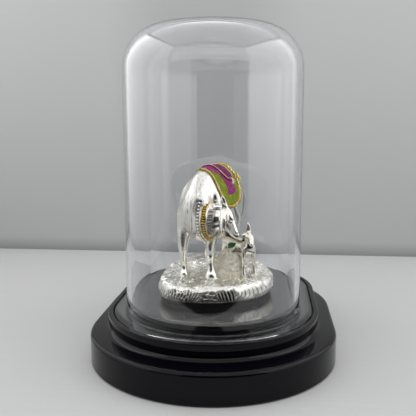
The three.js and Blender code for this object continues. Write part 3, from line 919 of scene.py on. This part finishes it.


# Creases before and behind each thigh, and how wide and deep they are; the skin along them gets painted shade
creases = [
    {"path": [(14, 14.2, 71.5), (15.3, 14.9, 66.5), (17.4, 15.2, 63.7), (21.1, 15, 60.1), (24, 14, 56)],
     "width": 2.6, "depth": 0.65},
    {"path": [(41, 12.4, 75.5), (40.3, 14, 71), (36.5, 14.9, 69), (31.5, 15.7, 66), (29, 15.6, 62.5), (30, 14.8, 58)],
     "width": 3.6, "depth": 0.65},
]


def distanceTo(points, path):
    # only near the path, and in parts, which saves memory
    nearest = np.full(len(points), faraway)
    low, high = path.min(0) - 3, path.max(0) + 3
    near = np.nonzero(((points > low) & (points < high)).all(axis=1))[0]
    for part in np.array_split(near, max(len(near) // 4000, 1)):
        nearest[part] = np.linalg.norm(points[part][:, None, :] - path[None, :, :], axis=-1).min(axis=1)
    return nearest


points, faces = surfaceOf(cowGrid, 3)
folded = foldDepth(ownAxes(cowPlace, points))
beadLine = neckRing(neckSeam - 2.75, deepest=2.6, count=160)
beadGroove = unit(1 - distanceTo(points, beadLine) / 0.85)
creased, dark = np.zeros((2, len(points)))
for crease in creases:
    for side in (-1, 1):
        line = placed(cowPlace, smoothThrough(onSide(crease["path"], side), 12))
        share = unit(1 - distanceTo(points, line) / crease["width"])
        creased = np.maximum(creased, crease["depth"] * share * share * (3 - 2 * share))
        dark = np.maximum(dark, unit(share * 2.4 - 0.8))
points = points - normalsOf(points, faces) * (folded + 0.35 * beadGroove + creased)[:, None]
# painted shade in the neck's folds, in the groove under the string of beads and along the thigh creases
cutsAndShade = np.maximum(folded / folds["depth"] * 0.85 + beadGroove * 1.1, dark * 0.75)
cowObject = addMesh("cow", points, faces, brushed, "silver", cutsAndShade=cutsAndShade)
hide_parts("cow_and_calf")
print("cow made", len(faces))


# Carved straps beside the neck band: two rows of small blocks and bars
straps = {"edges": (6.9, 9.3), "step": 1.25, "gap": 0.32, "depth": 0.45, "low": 57.6, "high": 69.6}


def strapDepth(own):
    back, left, height = own.T
    cut = np.zeros(len(own))
    for edge in straps["edges"]:
        cut = np.maximum(cut, unit(1 - np.abs(left - edge) / 0.34))
    for column, (a, b) in enumerate(zip(straps["edges"][:-1], straps["edges"][1:])):
        phase = (height - straps["low"]) / straps["step"] + 0.5 * column + 0.2 * np.sin(1.9 * height)
        line = unit(1 - np.abs(phase % 1 - 0.5) * straps["step"] / straps["gap"])
        split = unit(1 - np.abs(left - (a + b) / 2) / 0.3) * (np.floor(phase) % 2 < 1)
        cut = np.maximum(cut, np.maximum(line, 0.8 * split) * ((left > a) & (left < b)))
    return straps["depth"] * np.minimum(cut, 1) * (inSpan(height, straps["low"], straps["high"], 0.6)
                                                   * unit((-3 - back) / 1.5))


points, faces = surfaceOf(headGrid, 3)
strapped = strapDepth(ownAxes(cowPlace, points))
points = points - normalsOf(points, faces) * strapped[:, None]
_, left, height = ownAxes(cowPlace, points).T
first, last = straps["edges"]
# painted shade over the straps and just past their far edge, below their top
strapShade = unit((left - first) / 0.5) * unit((last + 1.6 - left) / 0.8) * unit((straps["high"] + 0.5 - height) / 0.8)
dark = np.maximum(strapped / straps["depth"], 0.7 * strapShade)
for name in ("eye", "nostril"):
    away = distanceTo(points, np.array([head[name]["centre"]]))
    dark = np.maximum(dark, 1.6 - away / head[name]["size"][0])
# painted shade along the crease under the eye and the mouth line, and in the hollows of the ears and horn
for name in ("crease", "mouth"):
    line, _ = evenly(np.array(head[name]["path"]), 0.2)
    dark = np.maximum(dark, 1.2 - distanceTo(points, line) / (1.8 * head[name]["radius"]))
for name in ("dropHollow", "farHollow", "hornHollow"):
    x, z = np.mean(head[name]["outline"], axis=0)
    away = np.linalg.norm((points - [x, head[name]["y"], z]) * [1, 0.8, 0.42], axis=1)
    dark = np.maximum(dark, 0.9 - 0.5 * away)
addMesh("cow_head", points, faces, polished, "silver", cutsAndShade=dark)
print("head made", len(faces))


def buildCalf(grid):
    addLimb(grid, calfPlace, calf["barrel"], up, pinch=calf["barrelPinch"])
    for rows, direction, blend in (
            [(calf["neck"], forward, 1.5), (calf["skull"], up, 0.8), (calf["tail"], forward, 0.5)]
            + [(onSide(calf[leg], side), forward, 1) for side in (-1, 1) for leg in ("foreleg", "hindleg")]
            + [(rows, forward, 0.4) for rows in calf["ears"]]):
        addLimb(grid, calfPlace, rows, direction, blend)


calfGrid = builtOn((-2, -22, 33), (26, 16, 64), 0.3, buildCalf)
points, faces = surfaceOf(calfGrid, 3)
outward = normalsOf(points, faces)
# painted shade: darker in recesses and on surfaces that face down
recessShade = {"reach": 2.0, "from": 0.12, "strong": 2.2}      # recesses that count as dark
recess = 1 - valueAt(calfGrid, points + recessShade["reach"] * outward) / recessShade["reach"]      # 0 in the open, up to 1
cutsAndShade = recessShade["strong"] * (recess - recessShade["from"]) + 0.9 * unit(-outward[:, 2] - 0.35)
addMesh("calf", points, faces, calfSilver, "silver", cutsAndShade=cutsAndShade)
print("calf made", len(faces))


# Rock: rings from its edge to its middle, with carved sides and a pebbled top
rock = {
    "foot": 28.8, "top": 36, "centre": (0.5, 4), "steps": 900,
    "edge": [[-25.8, -20], [-20.6, -30.6], [-10, -34.6], [4, -34], [15.7, -29], [25, -19], [28.6, -7],
             [27, 8], [20.5, 22], [12, 38], [0, 44.5], [-12, 41], [-20.5, 28], [-25.3, 12], [-26.5, -4]],
    "side": 46, "lid": 60,      # rings
    "cutDepth": 0.85, "rimInset": 2.9,
    # where each kind of carving lies along the edge, from the front left corner; curls fill the rest
    "bricks": [(17, 33.6), (92, 108), (172, 190)], "veins": [(33, 41), (140, 152)],
    "strokes": [(40.4, 49.5), (120, 131), (200, 212)],
    "pitch": {"strokes": 1.45, "bricks": 1.35, "curls": 2.7}, "cell": 3.6,      # how far apart the cuts are
    "lidCells": (12, 3.4),      # seed and size of the lumps on top
}


def closedThrough(points, steps, perRow=40):
    # a closed curve through the points, in even steps
    points = np.asarray(points, float)
    dense = smoothThrough(np.vstack([points[-2:], points, points[:3]]), perRow)
    dense = dense[2 * perRow:2 * perRow + len(points) * perRow + 1]
    length = lengthAlong(dense)
    return pointsAt(dense, length, np.linspace(0, length[-1], steps, endpoint=False))


def latticeNoise(x, y, seed, scale):
    # smooth random height over a plane
    draw = np.random.default_rng(seed)
    table = draw.uniform(-1, 1, (64, 64))
    u, v = x / scale, y / scale
    i, j = np.floor(u).astype(int), np.floor(v).astype(int)
    a, b = u - i, v - j
    a, b = a * a * (3 - 2 * a), b * b * (3 - 2 * b)
    rows = [[table[(i + p) % 64, (j + q) % 64] for q in (0, 1)] for p in (0, 1)]
    return (rows[0][0] * (1 - a) * (1 - b) + rows[0][1] * (1 - a) * b
            + rows[1][0] * a * (1 - b) + rows[1][1] * a * b)


def nearestCells(x, y, seed, size, squash=1.0):
    # distance to the border between scattered cells, and each cell's own random number
    draw = np.random.default_rng(seed)
    jitter = draw.uniform(0.15, 0.85, (64, 64, 2))
    own = draw.uniform(0, 1, (64, 64))
    u, v = x / size, y / (size * squash)
    i, j = np.floor(u).astype(int), np.floor(v).astype(int)
    best, second = np.full((2, *x.shape), faraway)
    number = np.zeros(x.shape)
    for p in (-1, 0, 1):
        for q in (-1, 0, 1):
            spot = jitter[(i + p) % 64, (j + q) % 64]
            away = np.hypot(i + p + spot[..., 0] - u, j + q + spot[..., 1] - v)
            closer = away < best
            second = np.where(closer, best, np.minimum(second, away))
            number = np.where(closer, own[(i + p) % 64, (j + q) % 64], number)
            best = np.where(closer, away, best)
    return second - best, number


def within(run, spans):
    # one inside the given spans of the edge, and nought outside
    return np.max([inSpan(run, start, end, 1.2) for start, end in spans], axis=0)


def waves(run, kind):
    # from 0 to 1 and back over each pitch
    return 0.5 + 0.5 * np.sin(2 * math.pi * run / rock["pitch"][kind])


def sideCut(run, tall):
    # how deep the side is cut, at a distance along the edge and a height above the foot
    drift = latticeNoise(run, tall, 3, 4.0)
    strokes = unit((0.8 - waves(run + 0.38 * tall + 0.5 * drift, "strokes")) * 5)
    border, number = nearestCells(run + 0.9 * drift, tall + 0.7 * latticeNoise(run, tall, 6, 2.2), 5, rock["cell"], 0.6)
    veins = unit(border / 0.1 - 0.6) * (0.5 + 0.5 * number)
    scratches = waves(run - 0.25 * tall + 1.6 * drift + 3 * number, "bricks")
    bricks = np.where(border < 0.1, 0.1, unit((0.74 - scratches) * 3) * (0.6 + 0.4 * number))
    bow = run + 0.22 * (tall - 3.5) ** 2 + 2.2 * latticeNoise(run, tall, 4, 5.0)
    curls = unit((waves(bow, "curls") - 0.86) * 7) * 0.42
    parts = [(bricks, rock["bricks"]), (veins, rock["veins"]), (strokes, rock["strokes"])]
    total = sum(within(run, spans) for _, spans in parts)
    return sum(cut * within(run, spans) for cut, spans in parts) + curls * unit(1 - total)


def lidHeight(x, y):
    swell = 0.5 * np.sin(0.21 * x + 0.6) * np.cos(0.17 * y)
    pebble = 0.25 * np.sin(0.9 * x + 1.3 * np.sin(0.5 * y)) * np.sin(0.8 * y)
    border, number = nearestCells(x, y, *rock["lidCells"])
    lumps = 0.2 * np.sqrt(unit(border / 0.55)) + 0.3 * (number - 0.5)
    streaks = 0.14 * np.sin(2 * math.pi * (y + 0.25 * x + 2.5 * latticeNoise(x, y, 15, 5.0)) / 1.5)
    return (rock["top"] + swell + pebble + lumps - 0.15 + streaks + 0.28 * latticeNoise(x, y, 13, 0.9)
            + 0.34 * latticeNoise(x, y, 18, 1.7) + 0.3 * latticeNoise(x, y, 14, 3.4))


def makeRock():
    steps = rock["steps"]
    edge = closedThrough(rock["edge"], steps)
    inward = np.array(rock["centre"]) - edge
    far = np.linalg.norm(inward, axis=1, keepdims=True)
    inward = inward / far
    run = lengthAlong(edge) + 4
    # the side's section: inset and share of the height, from under the foot to the rim
    section = smoothThrough([(4.0, 0), (1.2, 0), (0.35, 0.12), (0, 0.35), (0.15, 0.6), (0.7, 0.84),
                             (1.6, 0.96), (rock["rimInset"], 1.0)], 30)
    length = lengthAlong(section * [1, 9.4])
    rings, depths = [], []
    for inset, share in pointsAt(section, length, np.linspace(0, length[-1], rock["side"])):
        tall = np.full(steps, share * (rock["top"] - rock["foot"]))
        rimLine = 0.66 + 0.1 * latticeNoise(run, run * 0, 17, 3.4)
        fade = unit(share / 0.08) * (0.1 + 0.9 * unit((rimLine + 0.09 - share) / 0.18))
        depth = sideCut(run, tall) * fade
        wobble = 0.45 * latticeNoise(run, tall, 21, 3.2)
        spot = edge + inward * (inset + depth * rock["cutDepth"] + wobble * (share > 0))[:, None]
        lift = unit((share - 0.7) / 0.3)
        top = lidHeight(*spot.T) * lift + rock["top"] * (1 - lift)
        rings.append(np.column_stack([spot, rock["foot"] + (top - rock["foot"]) * share]))
        depths.append(depth)
    for part in np.linspace(0, 1, rock["lid"])[1:]:
        spot = edge + inward * (rock["rimInset"] + (far - rock["rimInset"]) * part * 0.99)
        rings.append(np.column_stack([spot, lidHeight(*spot.T)]))
        border, _ = nearestCells(*spot.T, *rock["lidCells"])
        patchy = unit(latticeNoise(*spot.T, 16, 4.0) * 2)
        depths.append(unit(0.5 - border / 0.35) * patchy)
    faces = ringFaces(len(rings), steps) + endCaps(len(rings) * steps, steps)
    return np.vstack(rings), faces, np.concatenate(depths)


points, faces, depths = makeRock()
addMesh("rock", points, faces, carved, "silver", cutsAndShade=depths)
print("rock made", len(faces))

# Heap of fodder under the calf: a ball with a broad foot, and crumbs all over it
heap = {"centre": (6.5, -8, 39.5), "size": (6.8, 6.6, 8.2), "crumbs": 150, "inset": 0.93, "cell": 0.3}


def buildHeap(grid):
    centre, size = np.array(heap["centre"]), np.array(heap["size"])
    addBall(grid, centre, size * heap["inset"])
    addBall(grid, centre + [-1.5, -0.5, -3.6], size * [1.35, 1.2, 0.55], blend=2.5)
    height = randomDraw.uniform(-0.95, 1, heap["crumbs"])
    around = randomDraw.uniform(0, 2 * math.pi, heap["crumbs"])
    for z, angle in zip(height, around):
        flat = math.sqrt(1 - z * z) * (1 + 0.35 * max(-z, 0))
        way = np.array([math.cos(angle) * flat, math.sin(angle) * flat, z])
        addBall(grid, centre + way * size * heap["inset"], randomDraw.uniform(0.7, 1.5, 3), blend=0.5)


points, faces = surfaceOf(builtOn((-3, -17, 29), (16, 1, 49), heap["cell"], buildHeap), 1)
crumbs = sum(latticeNoise(points[:, a], points[:, b], 31 + a + b, 0.7) for a, b in ((0, 1), (1, 2), (0, 2)))
points = points + normalsOf(points, faces) * (0.22 * crumbs)[:, None]
# painted shade where the crumbs sink in
addMesh("fodder_heap", points, faces, fodder, "silver", cutsAndShade=-0.3 * crumbs)
print("heap made")


# Saddle cloth: the cow's back swollen by the cloth's thickness and cut to outlines in her side view
cloth = {
    "lift": 0.6, "upperLift": 1.65, "lowerLift": 0.95, "cell": 0.32,
    "field": [(2.9, 96), (2.9, 72), (4.2, 69.4), (7, 68.8), (11, 68.7), (16, 69.4), (20, 70.4), (23.5, 72.2),
              (26.6, 74.6), (29.2, 77.6), (31, 81), (31.6, 84), (31.6, 96)],
    "upper": [(10.6, 96), (10.7, 86.6), (11.5, 84.2), (12.9, 82.4), (14.9, 81.4), (18, 81.1), (20.8, 81.3),
              (22.2, 82.3), (22.4, 84.2), (21.8, 86.4), (21.6, 96)],
    "lower": [(2.9, 96), (3.1, 87), (6.2, 85.8), (9.3, 83.8), (10.5, 81.2), (10.6, 77.8), (9.6, 75.6), (8, 74.2),
              (13, 74.3), (18.3, 74.7), (20.4, 77), (20, 81), (20, 96)],
    "askew": 7.0, "rightFrom": 88.4,      # how much further back the cloth begins on her right
    "edgeRound": 0.4, "deep": 0.8,      # each piece goes from its lift above the skin to deep below it
    "seenFrom": (1.5, 70), "spread": [(68, 12), (76, 11.5), (82, 9.5), (86, 5), (88.5, 0)],      # for its ropes
    "ropeRadius": 0.9, "edgeRadius": 0.55, "trimRadius": 0.3,
}
backGrid = builtOn((-26, -20, 60), (20, 26, 92), cloth["cell"], addTrunk)


def gridSpots(grid, place):
    # the grid's points in an animal's own axes
    return ownAxes(place, np.stack(np.meshgrid(*gridLines(grid), indexing="ij"), axis=-1))


def skinOf(grid, lift, deep):
    # a layer that follows the form's surface
    return np.maximum(grid["field"] - lift, -(grid["field"] + deep))


def askewAt(back):
    return cloth["askew"] * unit((16 - back) / 13)


def coverPiece(name, outline, lift, material, slot):
    own = gridSpots(backGrid, cowPlace)
    view = own[..., [0, 2]]
    view[..., 0] -= askewAt(own[..., 0]) * unit(-own[..., 1] / 5)
    limit = outlineDistance(view, outline)
    field = -blendIn(-skinOf(backGrid, lift, cloth["deep"]), -limit, cloth["edgeRound"])
    addMesh(name, *surfaceOf(dict(backGrid, field=field.astype(np.float32)), 2), material, slot)


def enamel(name, deep, light, speckle, scale):
    material = newMaterial(name, {"Coat Weight": 0.1, "Coat Roughness": 0.15, "Roughness": 0.5, "IOR": 1.22})
    tone = objectNoise(material, scale, detail=5, roughness=0.75)
    paint(material, tone, [(0.34, deep), (0.46, light), (0.58, light), (0.66, speckle)])
    addBump(material, objectNoise(material, 500, detail=3), 0.2, 0.8)
    return material


def goldMaterial(name, deep, light):
    material = newMaterial(name, {"Metallic": 1.0})
    tone = objectNoise(material, 300, detail=3)
    # the cut attribute paints shade between rope strands and on the dark bed under the band's seeds
    paintCutsAndShade(material, ramp(material, tone, [(0.3, deep), (0.65, light)]), (0.03, 0.014, 0.003))
    addRoughness(material, tone, 0.16, 0.32)
    return material


green = enamel("green_enamel", (0.13, 0.19, 0.012), (0.31, 0.37, 0.02), (0.72, 0.72, 0.16), 330)
magenta = enamel("magenta_enamel", (0.12, 0.008, 0.06), (0.42, 0.03, 0.23), (0.95, 0.4, 0.72), 560)
plum = enamel("plum_enamel", (0.09, 0.004, 0.035), (0.26, 0.016, 0.12), (0.85, 0.3, 0.55), 560)
emerald = enamel("emerald_enamel", (0.01, 0.09, 0.03), (0.01, 0.19, 0.06), (0.06, 0.34, 0.15), 400)
gold = goldMaterial("gilt", (0.5, 0.33, 0.07), (0.95, 0.75, 0.34))
paleGold = goldMaterial("pale_gilt", (0.75, 0.5, 0.36), (0.98, 0.8, 0.64))
coverPiece("saddle_cloth", cloth["field"], cloth["lift"], green, "cloth_green")
coverPiece("lower_panel", cloth["lower"], cloth["lowerLift"], magenta, "cloth_magenta")
coverPiece("upper_panel", cloth["upper"], cloth["upperLift"], plum, "cloth_magenta")
print("cloth made")


def onBack(view, side, lift):
    # looks outwards from inside the cow to the side, or up at the spine where the outline is above it
    back, height = view.T
    if side < 0:
        back = back + askewAt(back) * unit((cloth["rightFrom"] - height) / 3)
    middle, level = (np.full(len(view), place) for place in cloth["seenFrom"])
    starts = placed(cowPlace, np.column_stack([back, middle, level]))
    spread = np.interp(height, *np.array(cloth["spread"]).T)
    ways = asWays(placed(cowPlace, np.column_stack([back, middle + side * spread, height])) - starts)
    return onSurface(backGrid, starts, ways, 26, lift)


def sideCurve(outline, lift):
    # the left side's curve from its end to its start, then the right side's; they join on the spine or inside
    view = smoothThrough(outline, 12)
    return np.vstack([onBack(view, 1, lift)[::-1], onBack(view, -1, lift)])


def ropeMesh(path, radius, pitch, strands, sides, spacing=0.2, depth=0.4):
    # a tube along a path, its section turned and fluted as twisted strands are
    path, total = evenly(path, spacing)
    count = len(path)
    tangents = asWays(np.gradient(path, axis=0))
    side = np.cross(tangents[0], [0.3, 0.2, 1.0])
    angles = np.linspace(0, 2 * math.pi, sides, endpoint=False)
    points, cutsAndShade = [], []
    for k, tangent in enumerate(tangents):
        side = side - tangent * (side @ tangent)
        side /= np.linalg.norm(side)
        run = total * k / (count - 1)
        flute = np.abs(np.cos(strands / 2 * (angles - 2 * math.pi * run / pitch)))
        size = radius * (1 - depth + depth * flute ** 0.7)
        points.append(path[k] + (np.cos(angles) * size)[:, None] * side
                      + (np.sin(angles) * size)[:, None] * np.cross(tangent, side))
        # painted shade between the strands
        cutsAndShade.append(unit(1.3 - 2.2 * flute))
    return np.vstack(points), ringFaces(count, sides) + endCaps(count * sides, sides), np.concatenate(cutsAndShade)


def joinedMeshes(parts):
    faces, start = [], 0
    for points, own in parts:
        faces += [tuple(start + corner for corner in face) for face in own]
        start += len(points)
    return np.vstack([points for points, _ in parts]), faces


def beadMesh(centres, sizes, turns=None, rings=8, sides=12):
    # small balls or seeds; each size is [along, across, out] in its own turn's axes
    angles = np.linspace(0, 2 * math.pi, sides, endpoint=False)
    tilts = np.linspace(-math.pi / 2, math.pi / 2, rings + 1)[1:-1]
    shell = np.array([[0, 0, -1]] + [[math.cos(tilt) * math.cos(a), math.cos(tilt) * math.sin(a), math.sin(tilt)]
                                     for tilt in tilts for a in angles] + [[0, 0, 1]])
    top = len(shell) - 1 - sides
    pattern = ([(0, 1 + (a + 1) % sides, 1 + a) for a in range(sides)] + ringFaces(len(tilts), sides, 1)
               + [(top + a, top + (a + 1) % sides, len(shell) - 1) for a in range(sides)])
    turns = [np.eye(3)] * len(centres) if turns is None else turns
    return joinedMeshes([(centre + (shell * size) @ turn, pattern)
                         for centre, size, turn in zip(centres, sizes, turns)])


def addRope(name, path, radius, material, *twist):
    points, faces, cutsAndShade = ropeMesh(path, radius, *twist)
    addMesh(name, points, faces, material, "gold", cutsAndShade=cutsAndShade)


# each rope's turn, strands and sides are the last three numbers
hemLine = [(5, 69.0), *cloth["field"][4:11], (31.6, 84), (31.8, 88.5)]
addRope("hem_rope", sideCurve(hemLine, 0.7), cloth["ropeRadius"], gold, 6.3, 3, 18)
frontLine = [(4.4, 69.4), (3.2, 71), (2.9, 74), (2.9, 78), (2.9, 82), (2.9, 85.5), (2.9, 88.5)]
addRope("front_rope", sideCurve(frontLine, 0.6), cloth["edgeRadius"], gold, 3.4, 3, 14)
trimLine = [(10.9, 88.5), (10.7, 86.6), *cloth["upper"][2:9], (21.9, 86.4), (21.8, 88.5)]
addRope("panel_trim", sideCurve(trimLine, 1.7), cloth["trimRadius"], paleGold, 1.6, 2, 10)


# Neck band: two twisted rims and a row of seeds between them, with a string of silver beads beside it
band = {"middle": 5.3, "width": 2.1, "rim": 0.3, "seedStep": 1.15, "seed": (0.36, 0.72, 0.45),
        "beadsLeft": 2.65, "bead": 0.56, "beadStep": 1.5}


def ringAxes(ring):
    # at each place of a closed ring: along it, square to it on the surface, and outwards
    ahead = asWays(np.roll(ring, -1, axis=0) - np.roll(ring, 1, axis=0))
    across = asWays(np.cross(gradientAt(neckGrid, ring), ahead))
    return np.stack([ahead, across, np.cross(ahead, across)], axis=1)


def spacedRing(left, step, lift, deepest=1.0):
    dense = neckRing(left, lift, deepest)
    return evenly(np.vstack([dense, dense[:1]]), step)[0][:-1]


def makeBand():
    middle, half = band["middle"], band["width"] / 2
    parts = []
    for side in (-1, 1):
        ring = neckRing(middle + side * half, 0.12)
        parts.append(ropeMesh(np.vstack([ring, ring[:1]]), band["rim"], 1.5, 2, 10)[:2])
    seeds = spacedRing(middle, band["seedStep"], 0.15)
    parts.append(beadMesh(seeds, [band["seed"]] * len(seeds), ringAxes(seeds)))
    # a dark bed under the seeds, painted shade between them
    bed = np.vstack([neckRing(middle + place * half, 0.1) for place in (-1, -0.5, 0, 0.5, 1)])
    parts.append((bed, ringFaces(5, neckRings["steps"])))
    points, faces = joinedMeshes(parts)
    cutsAndShade = np.where(np.arange(len(points)) < len(points) - len(bed), 0, 0.9)
    addMesh("neck_band", points, faces, gold, "gold", cutsAndShade=cutsAndShade)


def makeBeads():
    centres = spacedRing(band["beadsLeft"], band["beadStep"], 0.12, 2.6)
    centres = centres[(valueAt(cowGrid, centres) > -0.4) & (ownAxes(cowPlace, centres)[:, 0] < 5)]
    addMesh("neck_beads", *beadMesh(centres, [band["bead"]] * len(centres)), polished, "silver")


makeBand()
makeBeads()

# Flower and pearl at the panel's lower corner, and the tassel where the hem turns up
flower = {
    "place": (17.9, 79.5), "petals": 6, "reach": 0.85, "petal": (0.62, 0.42, 0.36), "middle": 0.48,
    "pearl": (15.6, 78.6), "pearlSize": 0.72,
}
tassel = {
    "place": (30.6, 80.2), "angles": range(-100, 105, 34), "rise": 0.35, "knot": (0.7, 0.7, 0.6),
    "reach": 1.38, "leaf": (1.265, 0.3, 0.28),
}


def onFlank(place, lift):
    # a spot on the left flank, with its axes: along the flank, up it and out
    spot = onBack(np.array([place], float), 1, lift)[0]
    out = gradientAt(backGrid, spot)
    ahead = asWays(np.cross(up, out))
    return spot, np.array([ahead, np.cross(out, ahead), out])


def cluster(spot, axes, middle, middleSize, angles, rise, reach, size):
    # a middle with petals round it
    ways = asWays(np.array([math.cos(a) * axes[0] + math.sin(a) * axes[1] + rise * axes[2] for a in angles]))
    turns = [axes] + [np.array([way, np.cross(axes[2], way), axes[2]]) for way in ways]
    return beadMesh([middle, *(spot + ways * reach)], [middleSize] + [size] * len(ways), turns)


spot, axes = onFlank(flower["place"], 2.0)
angles = [2 * math.pi * k / flower["petals"] for k in range(flower["petals"])]
addMesh("flower", *cluster(spot, axes, spot + axes[2] * 0.3, flower["middle"], angles, 0, flower["reach"],
                           flower["petal"]), paleGold, "gold")
pearl = newMaterial("pearl_white", {"Roughness": 0.2, "Coat Weight": 0.5})
paint(pearl, objectNoise(pearl, 400, detail=2), [(0.35, (0.72, 0.68, 0.6)), (0.65, (0.9, 0.88, 0.84))])
addMesh("pearl", *beadMesh(onFlank(flower["pearl"], 1.9)[:1], [flower["pearlSize"]]), pearl, "silver")
spot, axes = onFlank(tassel["place"], 1.6)
addMesh("hem_tassel", *cluster(spot, axes, spot, tassel["knot"], np.radians(tassel["angles"]), tassel["rise"],
                               tassel["reach"], tassel["leaf"]), gold, "gold")

# Enamelled patch on the calf's right flank, in the calf's side view
patch = {"outline": [(14.1, 46.5), (14.3, 47.8), (13.1, 49.6), (10.8, 50.4), (6.1, 50.9), (6.5, 49.6), (8, 48.3),
                     (12.6, 46.6)], "lift": 0.22}


def makePatch():
    own = gridSpots(calfGrid, calfPlace)
    shape = np.maximum(skinOf(calfGrid, patch["lift"], 0.5), own[..., 1])
    field = np.maximum(shape, outlineDistance(own[..., [0, 2]], patch["outline"]))
    addMesh("calf_patch", *surfaceOf(dict(calfGrid, field=field.astype(np.float32)), 2), emerald, "calf_green")


makePatch()
print("trim made")
